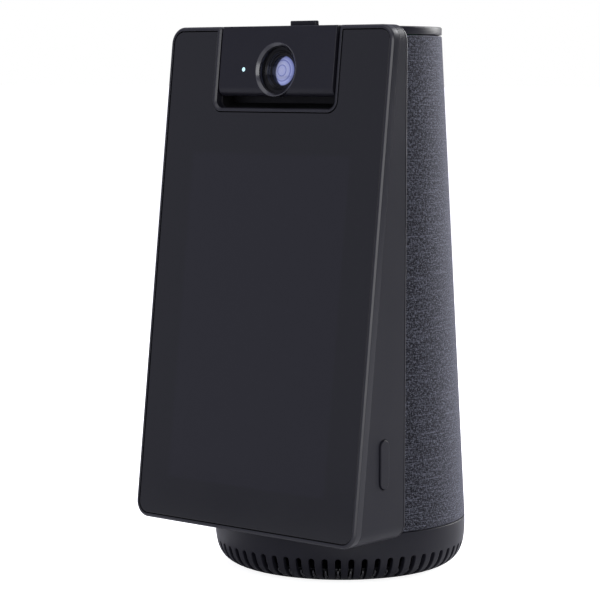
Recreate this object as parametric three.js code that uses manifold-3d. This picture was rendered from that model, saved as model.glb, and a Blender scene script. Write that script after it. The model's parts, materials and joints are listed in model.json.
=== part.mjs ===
// Smart speaker: an upright touch display with a tilting camera, on a round cloth-covered
// speaker body that fires down onto a slotted base ring. Millimetres. The ring's axis is Z,
// the table is z = 0, the display faces -Y and leans back.
import * as THREE from 'three';
import { mergeVertices } from 'three/addons/utils/BufferGeometryUtils.js';
import Module from 'manifold-3d';

const wasm = await Module();
wasm.setup();

// ---- driving dimensions ----
const GAP = 0.3; // clearance between neighbouring pieces
const TILT = THREE.MathUtils.degToRad(6.6); // how far the display leans back
const HALF_W = 76; // half the width of the display head
const HEAD_FRONT = -80.4; // y of the display's bottom edge
const HEAD_Z = 28.2; // underside of the display head
const TOP_Z = 288; // top of the head and of the cap
const BACK_Y = -39.3; // flat back of the head
const CORNER = 8.5; // outer corner radius of the head
const WALL = 2.4; // housing wall
const BEZEL = 5; // depth of the bezel ring
const LIP = 2; // bezel lip seen round the glass
const CHAMFER = 1; // along the bezel's front edge
const FAR = 400; // well past the object, for cutting blocks

const NOTCH_X = 42.6; // half width of the camera notch in the glass
const NOTCH_S = 217.2; // its lower edge, measured up the display
const MODULE_X = 39; // half width of the camera block
const BLOCK_DROP = 13; // its underside, below the pivot
const BLOCK_BACK = 1.2; // its back below the pivot, behind the pivot
const LENS_S = 239.1; // height of the lens and of the pivot
const PIVOT_DEPTH = 7.5; // pivot axis behind the display plane
const SHELL_SPLIT = 4.2; // depth of the camera's front shell
const NECK_X = 30; // half width of the block behind the pivot
const TAB = [18.3, 3.7, 3]; // thumb tab: wide, thick, high
const TAB_Y = -30;
const PIN_R = 2.4;
const RUN = 0.08; // running clearance of the pivot pins

const ACTIVE = [107.64, 172.22]; // picture area of the display panel
const ACTIVE_S = 23.3; // lower edge of the picture area
const PANEL_EDGE = { side: 3.48, below: 5, above: 6.88 }; // panel beyond its picture area

const RING_R = 67.2; // base ring
const RING_TOP = 27.9;
const SLOTS = 60;
const SLOT_W = 3;
const SLOT_Z = [2.5, 15.2];
const TAPER = 0.0553; // the cloth body loses this much radius per mm of height
const BODY_Z = [28.2, 283.4];
const CLOTH = 0.9;
const CAP_Z = 283.8;
const JACK_Z = 20.1;
const BUTTON = { y: -57, z: 68.7, w: 6.6, h: 24.8, proud: 0.9 };
const MIC_R = 40; // microphone holes in the cap
const FLANGE_R = 56; // screws that hold the base ring
const FLANGE_SCREWS = [-25, 60, 120, 205].map((deg) => THREE.MathUtils.degToRad(deg));
const BASE_R = 24; // screws that hold the base plate

// ---- frames and small helpers ----
const SLOPE = new THREE.Vector3(0, Math.sin(TILT), Math.cos(TILT));
const FACING = new THREE.Vector3(0, -Math.cos(TILT), Math.sin(TILT));
const HEAD_LEN = (TOP_Z - HEAD_Z) / Math.cos(TILT);
// x across, y up the display, z out of it, zero at the middle of its bottom edge
const DISPLAY = new THREE.Matrix4()
  .makeBasis(new THREE.Vector3(1, 0, 0), SLOPE, FACING)
  .setPosition(0, HEAD_FRONT, HEAD_Z);
const PIVOT = new THREE.Vector3(0, LENS_S, -PIVOT_DEPTH).applyMatrix4(DISPLAY);

const COLOURS = {
  shell: [0x25262b, 0.42, 0],
  bezel: [0x1d1e22, 0.35, 0],
  glass: [0x15171c, 0.08, 0],
  cloth: [0x303136, 0.95, 0],
  board: [0x17452c, 0.6, 0],
  steel: [0xa9acb0, 0.35, 1],
  zinc: [0x6c7076, 0.4, 1],
  rubber: [0x18181a, 0.9, 0],
  black: [0x111114, 0.55, 0],
  paper: [0x2b2a2c, 0.85, 0],
  lens: [0xc9d6ff, 0.05, 0],
  led: [0xbdf3ff, 0.2, 0],
};

const radiusAt = (z) => RING_R - TAPER * (z - BODY_Z[0]);
const turns = (count, phase = 0) =>
  Array.from({ length: count }, (_, i) => phase + (i * 2 * Math.PI) / count);

// Welds a three.js geometry, drops slivers of no area and turns it into a boolean solid.
function solid(geometry) {
  const bare = geometry.clone();
  bare.deleteAttribute('normal');
  bare.deleteAttribute('uv');
  const welded = mergeVertices(bare, 1e-4);
  const index = welded.index.array;
  const p = welded.attributes.position;
  const a = new THREE.Vector3();
  const b = new THREE.Vector3();
  const c = new THREE.Vector3();
  const keep = [];
  let volume = 0;
  for (let i = 0; i < index.length; i += 3) {
    const [u, v, w] = [index[i], index[i + 1], index[i + 2]];
    if (u === v || v === w || w === u) continue;
    keep.push(u, v, w);
    a.fromBufferAttribute(p, u);
    b.fromBufferAttribute(p, v);
    c.fromBufferAttribute(p, w);
    volume += a.dot(b.cross(c));
  }
  if (volume < 0) keep.reverse();
  const mesh = new wasm.Mesh({
    numProp: 3,
    vertProperties: new Float32Array(p.array),
    triVerts: new Uint32Array(keep),
  });
  return new wasm.Manifold(mesh);
}

function geometryOf(manifold) {
  const mesh = manifold.getMesh();
  const geometry = new THREE.BufferGeometry();
  const points = new Float32Array(mesh.vertProperties);
  geometry.setAttribute('position', new THREE.BufferAttribute(points, 3));
  geometry.setIndex(Array.from(mesh.triVerts));
  geometry.computeVertexNormals();
  return geometry;
}

function roundedRect(x0, y0, x1, y1, r) {
  const s = new THREE.Shape();
  s.moveTo(x0 + r, y0);
  s.lineTo(x1 - r, y0);
  s.absarc(x1 - r, y0 + r, r, -Math.PI / 2, 0);
  s.lineTo(x1, y1 - r);
  s.absarc(x1 - r, y1 - r, r, 0, Math.PI / 2);
  s.lineTo(x0 + r, y1);
  s.absarc(x0 + r, y1 - r, r, Math.PI / 2, Math.PI);
  s.lineTo(x0, y0 + r);
  s.absarc(x0 + r, y0 + r, r, Math.PI, 1.5 * Math.PI);
  return s;
}

const polygon = (points) => new THREE.Shape(points.map(([x, y]) => new THREE.Vector2(x, y)));

function disc(x, y, r, hole = 0) {
  const s = new THREE.Shape();
  s.absarc(x, y, r, 0, 2 * Math.PI);
  if (hole > 0) s.holes.push(new THREE.Path().absarc(x, y, hole, 0, 2 * Math.PI, true));
  return s;
}

function extrude(shape, z0, z1, curveSegments = 6) {
  const options = { depth: z1 - z0, bevelEnabled: false, curveSegments };
  return new THREE.ExtrudeGeometry(shape, options).translate(0, 0, z0);
}

// Shape drawn in x, z and swept along y.
function alongY(shape, y0, y1, curveSegments = 6) {
  return extrude(shape, -y1, -y0, curveSegments).rotateX(Math.PI / 2);
}

// Shape drawn in y, z and swept along x.
function alongX(shape, x0, x1, curveSegments = 6) {
  const turn = new THREE.Matrix4().makeBasis(
    new THREE.Vector3(0, 1, 0),
    new THREE.Vector3(0, 0, 1),
    new THREE.Vector3(1, 0, 0),
  );
  return extrude(shape, x0, x1, curveSegments).applyMatrix4(turn);
}

const onDisplay = (shape, n0, n1, curveSegments = 6) =>
  extrude(shape, n0, n1, curveSegments).applyMatrix4(DISPLAY);

function box(x0, x1, y0, y1, z0, z1) {
  const g = new THREE.BoxGeometry(x1 - x0, y1 - y0, z1 - z0);
  return g.translate((x0 + x1) / 2, (y0 + y1) / 2, (z0 + z1) / 2);
}

// Profile of [radius, height] pairs, closed by itself or by the axis, turned about Z.
function lathe(profile, segments = 60) {
  const points = profile.map(([r, z]) => new THREE.Vector2(r, z));
  const first = points[0];
  const last = points[points.length - 1];
  if (first.x > 0 || last.x > 0) points.push(first.clone());
  return new THREE.LatheGeometry(points, segments).rotateX(Math.PI / 2);
}

// Cylinder along Z, or a ring when hole is given.
const tube = (x, y, r, z0, z1, hole = 0, curveSegments = 12) =>
  extrude(disc(x, y, r, hole), z0, z1, curveSegments);

function bezier(a, b, c, d, count) {
  const curve = new THREE.CubicBezierCurve(...[a, b, c, d].map((q) => new THREE.Vector2(...q)));
  return curve.getPoints(count).map((q) => [q.x, q.y]);
}

const cutFrontOf = (part, y) => part.subtract(solid(box(-FAR, FAR, -FAR, y, -FAR, FAR)));

const polar = (radius, angle) => [radius * Math.cos(angle), radius * Math.sin(angle)];

const subtractAll = (body, cutters) => cutters.reduce((left, cut) => left.subtract(cut), body);

const root = new THREE.Group();
root.name = 'smart_speaker';

function add(name, geometry, colour, group = root) {
  const [color, roughness, metalness] = COLOURS[colour];
  const shape = geometry.isBufferGeometry ? solid(geometry) : geometry;
  const material = new THREE.MeshStandardMaterial({ color, roughness, metalness });
  const mesh = new THREE.Mesh(geometryOf(shape), material);
  mesh.name = name;
  group.add(mesh);
}

// ---- display head ----

// Outline of the glass area, with the camera notch at the top; inset shrinks it all round.
function glassOutline(inset) {
  const x = HALF_W - LIP - inset;
  const s0 = LIP + inset;
  const s1 = HEAD_LEN - LIP - inset;
  const nx = NOTCH_X + inset;
  const ns = NOTCH_S - inset;
  const r = 6.5 - inset;
  const nr = 6 + inset;
  const s = new THREE.Shape();
  s.moveTo(-x + r, s0);
  s.lineTo(x - r, s0);
  s.absarc(x - r, s0 + r, r, -Math.PI / 2, 0);
  s.lineTo(x, s1 - r);
  s.absarc(x - r, s1 - r, r, 0, Math.PI / 2);
  s.lineTo(nx, s1);
  s.lineTo(nx, ns + nr);
  s.absarc(nx - nr, ns + nr, nr, 0, -Math.PI / 2, true);
  s.lineTo(-nx + nr, ns);
  s.absarc(-nx + nr, ns + nr, nr, 1.5 * Math.PI, Math.PI, true);
  s.lineTo(-nx, s1);
  s.lineTo(-x + r, s1);
  s.absarc(-x + r, s1 - r, r, Math.PI / 2, Math.PI);
  s.lineTo(-x, s0 + r);
  s.absarc(-x + r, s0 + r, r, Math.PI, 1.5 * Math.PI);
  return s;
}

const headOutline = (inset) =>
  roundedRect(-HALF_W + inset, HEAD_Z + inset, HALF_W - inset, TOP_Z - inset, CORNER - inset);

// Everything deeper than n behind the display plane.
const behind = (n) => solid(box(-FAR, FAR, -FAR, FAR, -FAR, n).applyMatrix4(DISPLAY));

const cameraOpening = (clear, floor) =>
  roundedRect(-MODULE_X - clear, floor, MODULE_X + clear, HEAD_LEN + 40, 4.2);

function displayBezel() {
  const block = solid(alongY(headOutline(0), HEAD_FRONT - 10, 0));
  const face = roundedRect(
    -HALF_W + CHAMFER, CHAMFER, HALF_W - CHAMFER, HEAD_LEN - CHAMFER, CORNER - CHAMFER);
  const flare = BEZEL + 6;
  const options = {
    depth: 1,
    bevelEnabled: true,
    bevelThickness: flare,
    bevelSize: flare,
    bevelSegments: 1,
    curveSegments: 6,
  };
  const chamfered = new THREE.ExtrudeGeometry(face, options).translate(0, 0, -flare - 1);
  return block
    .intersect(solid(chamfered.applyMatrix4(DISPLAY)))
    .subtract(behind(-BEZEL))
    .subtract(solid(onDisplay(glassOutline(0), -BEZEL - 5, 5)))
    .subtract(solid(onDisplay(cameraOpening(1.4, NOTCH_S + 1.9), -BEZEL - 5, 5)));
}

const coverGlass = () => onDisplay(glassOutline(0.25), -2.4, -0.4);

function displayPanel() {
  const x = ACTIVE[0] / 2 + PANEL_EDGE.side;
  const s0 = ACTIVE_S - PANEL_EDGE.below;
  const s1 = ACTIVE_S + ACTIVE[1] + PANEL_EDGE.above;
  return onDisplay(roundedRect(-x, s0, x, s1, 1), -5.1, -2.7);
}

const CARRIER_POSTS = [[-66, 14], [66, 14], [-66, 204], [66, 204]];

function panelCarrier() {
  const plate = roundedRect(-72.8, 4, 72.8, 213.5, 5);
  for (const [x, s] of CARRIER_POSTS) {
    plate.holes.push(new THREE.Path().absarc(x, s, 1.6, 0, 2 * Math.PI, true));
  }
  plate.holes.push(new THREE.Path().setFromPoints(
    roundedRect(-22, 30, 22, 42, 3).getPoints(3).reverse()));
  return onDisplay(plate, -7.4, -5.8);
}

function carrierScrew([x, s]) {
  const head = solid(tube(x, s, 2.6, -5.4, -4, 0, 8));
  const shank = solid(tube(x, s, 1.2, -14, -5, 0, 8));
  return head.add(shank).transform(DISPLAY.toArray());
}

// Outline of the side button in y, z.
const obround = (grow) => roundedRect(
  BUTTON.y - BUTTON.w / 2 - grow, BUTTON.z - BUTTON.h / 2 - grow,
  BUTTON.y + BUTTON.w / 2 + grow, BUTTON.z + BUTTON.h / 2 + grow, BUTTON.w / 2 + grow - 0.01);

// Space round the camera block, with a sloping floor and no roof.
function cameraWell() {
  const half = MODULE_X + 0.9;
  const ramp = polygon([
    [0, NOTCH_S + 2.2], [-5, NOTCH_S + 2.2], [-12, NOTCH_S + 4.9], [-60, NOTCH_S + 4.9],
    [-60, HEAD_LEN + 40], [0, HEAD_LEN + 40],
  ]);
  const turn = new THREE.Matrix4().makeBasis(
    new THREE.Vector3(0, 0, 1),
    new THREE.Vector3(0, 1, 0),
    new THREE.Vector3(-1, 0, 0),
  );
  return solid(extrude(ramp, -half, half).applyMatrix4(turn).applyMatrix4(DISPLAY));
}

function frontHousing() {
  const shell = solid(alongY(headOutline(0), HEAD_FRONT - 10, BACK_Y));
  const backWall = solid(alongY(headOutline(0), BACK_Y - WALL, BACK_Y));
  const cavity = solid(alongY(headOutline(WALL), HEAD_FRONT - 10, BACK_Y - WALL));
  // opening to the round body, a little inside the line where the cloth meets the back
  const throat = polygon([[-48, 33], [48, 33], [33, 246], [-33, 246]]);
  const neckway = roundedRect(-NECK_X - 2, PIVOT.z - 1.5, NECK_X + 2, TOP_Z + 20, 1);
  const openings = [throat, neckway].map((s) => solid(alongY(s, BACK_Y - 10, BACK_Y + 10)));
  let body = subtractAll(shell.subtract(cavity), openings);
  // posts the panel carrier screws onto
  for (const [x, s] of CARRIER_POSTS) {
    const post = solid(tube(x, s, 4, -60, -7.7, 0, 6).applyMatrix4(DISPLAY));
    const bore = solid(tube(x, s, 1.35, -16, 0, 0, 6).applyMatrix4(DISPLAY));
    body = body.add(post.intersect(shell)).subtract(bore);
  }
  // tray that the well is cut from
  const tray = solid(onDisplay(
    roundedRect(-NOTCH_X + 0.2, NOTCH_S + 0.2, NOTCH_X - 0.2, HEAD_LEN + 40, 5.8), -60, 0));
  const pins = solid(alongX(disc(PIVOT.y, PIVOT.z, PIN_R + RUN), -HALF_W + 10, HALF_W - 10, 12));
  const slot = solid(alongX(obround(GAP), HALF_W - 10, HALF_W + 5));
  body = body.add(tray.intersect(shell)).subtract(cameraWell().subtract(backWall));
  return subtractAll(body, [openings[1], pins, slot]).intersect(behind(-BEZEL - GAP));
}

// ---- camera block, in y, z about the pivot ----
const frontLine = (z) => HEAD_FRONT + (z + PIVOT.z - HEAD_Z) * Math.tan(TILT) - PIVOT.y;
const BLOCK_TOP = TOP_Z - PIVOT.z;

// Side view of the block; inset thins it for the hollow inside.
function blockProfile(inset) {
  const r = 4.5 - inset;
  const bottom = -BLOCK_DROP + inset;
  const front = frontLine(bottom + r) + inset;
  const back = BLOCK_BACK - inset;
  const top = BLOCK_TOP - inset;
  const s = new THREE.Shape();
  s.moveTo(frontLine(top) + inset, top);
  s.lineTo(front, bottom + r);
  s.absarc(front + r, bottom + r, r, Math.PI, 1.5 * Math.PI);
  s.lineTo(back - r, bottom);
  s.absarc(back - r, bottom + r, r, 1.5 * Math.PI, 2 * Math.PI);
  s.lineTo(3.3 - inset, 0);
  s.lineTo(0.2 - inset, top);
  return s;
}

function cameraBlock() {
  const neck = polygon([[-3, 6.5], [18.5, 6.5], [18.5, BLOCK_TOP], [-3, BLOCK_TOP]]);
  const neckHollow = polygon([[-3, 8.7], [16.5, 8.7], [16.5, BLOCK_TOP - 2], [-3, BLOCK_TOP - 2]]);
  const wide = solid(alongX(blockProfile(0), -MODULE_X, MODULE_X));
  const outer = wide.add(solid(alongX(neck, -NECK_X, NECK_X)));
  const hollow = solid(alongX(blockProfile(1.7), -MODULE_X + 2, MODULE_X - 2))
    .add(solid(alongX(neckHollow, -NECK_X + 2, NECK_X - 2)));
  return outer.subtract(hollow).translate(PIVOT.toArray());
}

const RIM_R = 14;
const LED = [-22.3, LENS_S, 1.3];

function cameraShells() {
  const block = cameraBlock();
  const seat = solid(onDisplay(disc(0, LENS_S, RIM_R + GAP), -SHELL_SPLIT - 0.1, 5, 16));
  const led = solid(onDisplay(disc(LED[0], LED[1], LED[2] + 0.15), -20, 5));
  const pins = solid(alongX(disc(PIVOT.y, PIVOT.z, PIN_R + 0.1), -60, 60, 12));
  const tabHole = solid(box(-4.3, 4.3, TAB_Y - 1.5, TAB_Y + 1.5, TOP_Z - 1.4, TOP_Z + 5));
  const front = block.subtract(behind(-SHELL_SPLIT)).subtract(seat).subtract(led);
  const rear = block.intersect(behind(-SHELL_SPLIT - GAP)).subtract(pins).subtract(tabHole)
    .subtract(solid(onDisplay(disc(0, LENS_S, 10.6), -8, 0, 12)));
  return [front, rear];
}

// Rim, wall and first step round the lens, in radius and height above the display plane.
function lensRim() {
  const foot = -SHELL_SPLIT + GAP;
  const profile = [
    [RIM_R, foot], [RIM_R, -0.3], [RIM_R - 0.4, 0], [12.6, -1.1], [12.2, -3.4], [10.3, -3.4],
    [10.3, foot],
  ];
  const ring = solid(lathe(profile, 48));
  return ring.translate([0, LENS_S, 0]).transform(DISPLAY.toArray());
}

function lensBarrel() {
  const profile = [
    [10, -4.3], [9.6, -3.9], [9.2, -4.4], [8.6, -5.9], [8, -5.9], [8, -6.7], [10, -6.7],
  ];
  return solid(lathe(profile, 40)).translate([0, LENS_S, 0]).transform(DISPLAY.toArray());
}

function lensGlass() {
  const dome = bezier([7.7, -6.2], [6.4, -5.3], [3, -4.8], [0, -4.8], 6);
  const profile = [[0, -6.6], [7.7, -6.6], ...dome];
  return solid(lathe(profile, 36)).translate([0, LENS_S, 0]).transform(DISPLAY.toArray());
}

function pivotPin(side) {
  const [inner, outer] = [37.3, 42.2];
  const [x0, x1] = side > 0 ? [inner, outer] : [-outer, -inner];
  return alongX(disc(PIVOT.y, PIVOT.z, PIN_R), x0, x1, 12);
}

function tiltTab() {
  const [w, t, h] = TAB;
  const fin = solid(extrude(
    roundedRect(-w / 2, TAB_Y - t / 2, w / 2, TAB_Y + t / 2, t / 2 - 0.01),
    TOP_Z + GAP, TOP_Z + h, 4));
  return fin.add(solid(box(-4, 4, TAB_Y - 1.2, TAB_Y + 1.2, TOP_Z - 1.1, TOP_Z + 1)));
}

// ---- side button ----
function sideButton() {
  const inner = HALF_W - WALL;
  const cap = solid(alongX(obround(0), inner - 1, HALF_W + BUTTON.proud));
  const flange = solid(alongX(obround(1.2), inner - 2, inner - GAP));
  const stem = solid(alongX(disc(BUTTON.y, BUTTON.z, 1.8), inner - 3.6, inner - 1, 8));
  return cap.add(flange).add(stem);
}

function buttonBracket() {
  const inner = HALF_W - WALL - GAP;
  const x0 = inner - 11;
  const z0 = BUTTON.z - 19;
  const z1 = BUTTON.z + 19;
  const u = polygon([
    [inner, z0], [inner, z0 + 2], [x0 + 2, z0 + 2], [x0 + 2, z1 - 2], [inner, z1 - 2],
    [inner, z1], [x0, z1], [x0, z0],
  ]);
  return alongY(u, BUTTON.y - 7, BUTTON.y + 7);
}

function buttonBoard() {
  const x0 = HALF_W - WALL - 9;
  const { y, z } = BUTTON;
  const board = solid(box(x0, x0 + 1.4, y - 6.5, y + 6.5, z - 16, z + 16));
  return board.add(solid(box(x0 + 1.2, x0 + 4.2, y - 3, y + 3, z - 3, z + 3)));
}

// ---- electronics behind the display ----
function mainBoard() {
  const board = solid(onDisplay(roundedRect(-50, 46, 50, 122, 2), -15.6, -14, 3));
  const chips = [[-40, 60, -24, 76, 2], [18, 100, 40, 114, 4.5], [-44, 98, -34, 116, 6]];
  return chips.reduce((all, [x0, s0, x1, s1, h]) =>
    all.add(solid(box(x0, x1, s0, s1, -15.2 - h, -15.2).applyMatrix4(DISPLAY))), board);
}

function heatSink() {
  const [half, s0, s1] = [14, 62, 92];
  const [fins, pitch] = [7, 4.2];
  let sink = solid(box(-half, half, s0, s1, -18, -15.9).applyMatrix4(DISPLAY));
  for (let i = 0; i < fins; i += 1) {
    const x = 0.6 - half + i * pitch;
    sink = sink.add(solid(box(x, x + 1.4, s0 + 1, s1 - 1, -24, -17).applyMatrix4(DISPLAY)));
  }
  return sink;
}

// Flat ribbon from the main board up to behind the camera block.
function cameraFlex() {
  const path = polygon([
    [-46.4, 150], [-44.4, 170], [-44.2, 236], [-44.8, 236], [-45.2, 170], [-47.2, 150],
  ]);
  return alongX(path, 14, 24);
}

// ---- round body ----
function coneShell(outward, inward, z0, z1, segments = 60) {
  return solid(lathe([
    [radiusAt(z0) + outward, z0], [radiusAt(z1) + outward, z1],
    [radiusAt(z1) + inward, z1], [radiusAt(z0) + inward, z0],
  ], segments));
}

const BODY_FRONT = BACK_Y + GAP;

const clothSleeve = () => cutFrontOf(coneShell(0, -CLOTH, BODY_Z[0], BODY_Z[1]), BODY_FRONT);

function grilleFrame() {
  const shell = coneShell(-CLOTH - GAP, -CLOTH - GAP - 1.8, BODY_Z[0], BODY_Z[1] - 1);
  // windows all round, except in front where the head stands
  const angles = turns(18, Math.PI / 18).filter((a) => Math.sin(a) > -0.55);
  const windows = angles.map((a) => solid(box(-5, 5, 40, 80, 44, 262).rotateZ(a)));
  return cutFrontOf(subtractAll(shell, windows), BODY_FRONT);
}

function topCap() {
  const r = radiusAt(CAP_Z);
  const plate = solid(lathe([
    [0, 285.4], [47.6, 285.4], [47.6, 280], [49, 280], [49, CAP_Z], [r, CAP_Z],
    [r, TOP_Z - 0.8], [r - 0.8, TOP_Z], [0, TOP_Z],
  ]));
  const holes = [1, 3].map((eighth) =>
    solid(tube(...polar(MIC_R, (eighth * Math.PI) / 4), 0.7, 270, 300, 0, 6)));
  const bay = solid(box(-NECK_X - 2, NECK_X + 2, -60, -21.5, 270, 300));
  return cutFrontOf(subtractAll(plate, holes), BODY_FRONT).subtract(bay);
}

function micBoard() {
  const ring = solid(tube(0, 0, 46, 282.4, 284, 34, 24));
  return ring.subtract(solid(box(-37, 37, -60, -19, 270, 300)));
}

const BAFFLE_Z = BODY_Z[0];
const WOOFER_Y = 6; // the driver sits behind the ring's axis, clear of the head
const WOOFER_HOLE = 35.4;

function enclosure() {
  const outer = solid(lathe([[0, BAFFLE_Z], [60, BAFFLE_Z], [47.5, 256], [0, 256]], 36));
  const inner = solid(lathe([[0, 31], [57.5, 31], [45, 253.5], [0, 253.5]], 36));
  const hole = solid(tube(0, WOOFER_Y, WOOFER_HOLE, 20, 40, 0, 20));
  const screws = FLANGE_SCREWS.map((a) => solid(tube(...polar(FLANGE_R, a), 1.3, 20, 40, 0, 6)));
  const body = cutFrontOf(outer, -36.5).subtract(cutFrontOf(inner, -34)).subtract(hole);
  return subtractAll(body, screws);
}

const driver = (profile, segments) => lathe(profile, segments).translate(0, WOOFER_Y, 0);

function wooferBasket() {
  const body = solid(lathe([
    [31.5, 26], [39.5, 26], [39.5, BAFFLE_Z - GAP], [35, BAFFLE_Z - GAP], [34.4, 34], [21, 52],
    [12, 52], [12, 50.5], [20, 50.5], [32.8, 33], [33.2, 28], [31.5, 28],
  ], 32));
  const windows = turns(4).map((a) => solid(box(16, 50, -8, 8, 36.5, 48).rotateZ(a)));
  return subtractAll(body, windows).translate([0, WOOFER_Y, 0]);
}

const wooferMagnet = () => driver([
  [0, 52.3], [25, 52.3], [26, 53.5], [26, 68.5], [25, 70], [5, 70], [5, 66], [0, 66]], 36);
const wooferCone = () => driver([
  [29.2, 28.6], [29.2, 29.4], [11, 45], [10.4, 44.2], [28.5, 28.6]], 36);
const dustCap = () => driver([
  [0, 33], [5, 33.8], [10.2, 40.5], [9.6, 41], [4.6, 34.6], [0, 33.8]], 28);
const surround = () => driver([
  [31.1, 28.3], [31.1, 26.6], [29.9, 25.5], [28.8, 26.4], [28.4, 28.2], [29, 28.2], [29.3, 26.9],
  [29.9, 26.3], [30.4, 27], [30.4, 28.3],
], 32);

// ---- base ----
const RING_OUTSIDE = bezier([RING_R, 22.5], [RING_R - 0.2, 7.8], [62.8, 1.9], [46, 0.9], 4);

// Straight slot with a round top, centred on x = 0.
function slotOutline() {
  const half = SLOT_W / 2;
  const top = SLOT_Z[1] - half;
  const arc = [0, 60, 120, 180].map((deg) => {
    const a = THREE.MathUtils.degToRad(deg);
    return [half * Math.cos(a), top + half * Math.sin(a)];
  });
  return polygon([[-half, SLOT_Z[0]], [half, SLOT_Z[0]], ...arc]);
}

function baseRing() {
  const inside = [[44, 3.2], [53, 4], [59.6, 8.4], [63.9, 16]];
  const profile = [
    [RING_R, RING_TOP], ...RING_OUTSIDE, [44, 0.9], ...inside,
    [64.2, 24.9], [52, 24.9], [52, RING_TOP],
  ];
  const slots = turns(SLOTS, Math.PI / SLOTS).map((a) =>
    solid(alongY(slotOutline(), 50, 72).rotateZ(a)));
  const screws = FLANGE_SCREWS.map((a) => solid(tube(...polar(FLANGE_R, a), 1.8, 20, 40, 0, 6)));
  const inlet = solid(alongY(disc(0, JACK_Z, 4.2), 55, 80, 8));
  return subtractAll(solid(lathe(profile, SLOTS)), [...slots, ...screws, inlet]);
}

function flangeScrew(a) {
  const [x, y] = polar(FLANGE_R, a);
  return solid(tube(x, y, 3, 22.7, 24.6, 0, 8)).add(solid(tube(x, y, 1.1, 24, 36, 0, 6)));
}

const BASE_SCREWS = turns(4, Math.PI / 4);

function deflector() {
  const dish = solid(lathe([
    [0, 6.4], [56, 6.4], [56, 8.4], [47, 10.2], [32, 14.8], [14, 20.8], [0, 22.6],
  ]));
  // one blade stands in each slot, clear of its sides
  const blade = polygon([[55.5, 8], [55.5, 3.7], [58.6, 5], [62.2, 8]]);
  let body = dish;
  for (const a of turns(SLOTS, Math.PI / SLOTS)) {
    body = body.add(solid(alongX(blade, -0.7, 0.7).rotateZ(a)));
  }
  return subtractAll(body, BASE_SCREWS.map((a) =>
    solid(tube(...polar(BASE_R, a), 1.4, 0, 13, 0, 6))));
}

function basePlate() {
  const profile = [[0, 1.7], [43.6, 1.7], [43.6, 4.1], [49, 4.1], [49, 6.1], [0, 6.1]];
  const sinks = BASE_SCREWS.map((a) => solid(tube(...polar(BASE_R, a), 3.2, 0, 3.9, 0, 8)));
  const holes = BASE_SCREWS.map((a) => solid(tube(...polar(BASE_R, a), 1.7, 0, 10, 0, 6)));
  return subtractAll(solid(lathe(profile, 28)), [...sinks, ...holes]);
}

function baseScrew(a) {
  const [x, y] = polar(BASE_R, a);
  return solid(tube(x, y, 2.8, 1.9, 3.6, 0, 8)).add(solid(tube(x, y, 1.1, 3, 11.5, 0, 6)));
}

const footPad = () => tube(0, 0, 43, 0, 1.4, 0, 20);

function powerJack() {
  const body = solid(box(-5, 5, 49, 62.6, JACK_Z - 4.3, JACK_Z + 4.3));
  const collar = solid(alongY(disc(0, JACK_Z, 3.9), 62, 66.8, 8));
  return body.add(collar).subtract(solid(alongY(disc(0, JACK_Z, 3.2), 52, 70, 8)));
}

// ---- assembly ----
add('display_bezel', displayBezel(), 'bezel');
add('cover_glass', coverGlass(), 'glass');
add('display_panel', displayPanel(), 'black');
add('panel_carrier', panelCarrier(), 'steel');
CARRIER_POSTS.forEach((at, i) => add(`carrier_screw_${i + 1}`, carrierScrew(at), 'steel'));
add('front_housing', frontHousing(), 'shell');
add('main_board', mainBoard(), 'board');
add('heat_sink', heatSink(), 'zinc');
add('camera_flex', cameraFlex(), 'paper');

const camera = new THREE.Group();
camera.name = 'camera_head';
root.add(camera);
const [frontShell, rearShell] = cameraShells();
add('camera_front_shell', frontShell, 'shell', camera);
add('camera_rear_shell', rearShell, 'shell', camera);
add('lens_rim', lensRim(), 'bezel', camera);
add('lens_barrel', lensBarrel(), 'black', camera);
add('lens_glass', lensGlass(), 'lens', camera);
add('led_window', onDisplay(disc(...LED), -3.4, -0.1, 6), 'led', camera);
add('camera_board', onDisplay(roundedRect(-30, 233.5, 30, 242.6, 1), -7.9, -7, 3), 'board', camera);
add('pivot_pin_left', pivotPin(-1), 'steel', camera);
add('pivot_pin_right', pivotPin(1), 'steel', camera);
add('tilt_tab', tiltTab(), 'shell', camera);

add('side_button', sideButton(), 'shell');
add('button_bracket', buttonBracket(), 'black');
add('button_board', buttonBoard(), 'board');

add('cloth_sleeve', clothSleeve(), 'cloth');
add('grille_frame', grilleFrame(), 'black');
add('top_cap', topCap(), 'shell');
add('mic_board', micBoard(), 'board');
add('speaker_enclosure', enclosure(), 'black');
add('woofer_basket', wooferBasket(), 'zinc');
add('woofer_magnet', wooferMagnet(), 'zinc');
add('woofer_cone', wooferCone(), 'paper');
add('woofer_surround', surround(), 'rubber');
add('woofer_dust_cap', dustCap(), 'paper');

add('base_ring', baseRing(), 'shell');
FLANGE_SCREWS.forEach((a, i) => add(`flange_screw_${i + 1}`, flangeScrew(a), 'steel'));
add('sound_deflector', deflector(), 'shell');
add('base_plate', basePlate(), 'black');
BASE_SCREWS.forEach((a, i) => add(`base_screw_${i + 1}`, baseScrew(a), 'steel'));
add('foot_pad', footPad(), 'rubber');
add('power_jack', powerJack(), 'black');

export default root;
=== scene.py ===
"""Smart speaker with an upright touch display: its visible surfaces, built round the packed frame.

Sizes in the classes are millimetres in the frame's own axes: +Z up the round body, -Y the way
the display faces, +X to the right of somebody facing it. place() turns a finished piece to metres.
"""

from __future__ import annotations

import json
import logging
import math
from dataclasses import dataclass, field
from enum import Enum
from typing import Any, Sequence

import bmesh
import bpy
import numpy as np
from mathutils import Matrix, Vector

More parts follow.
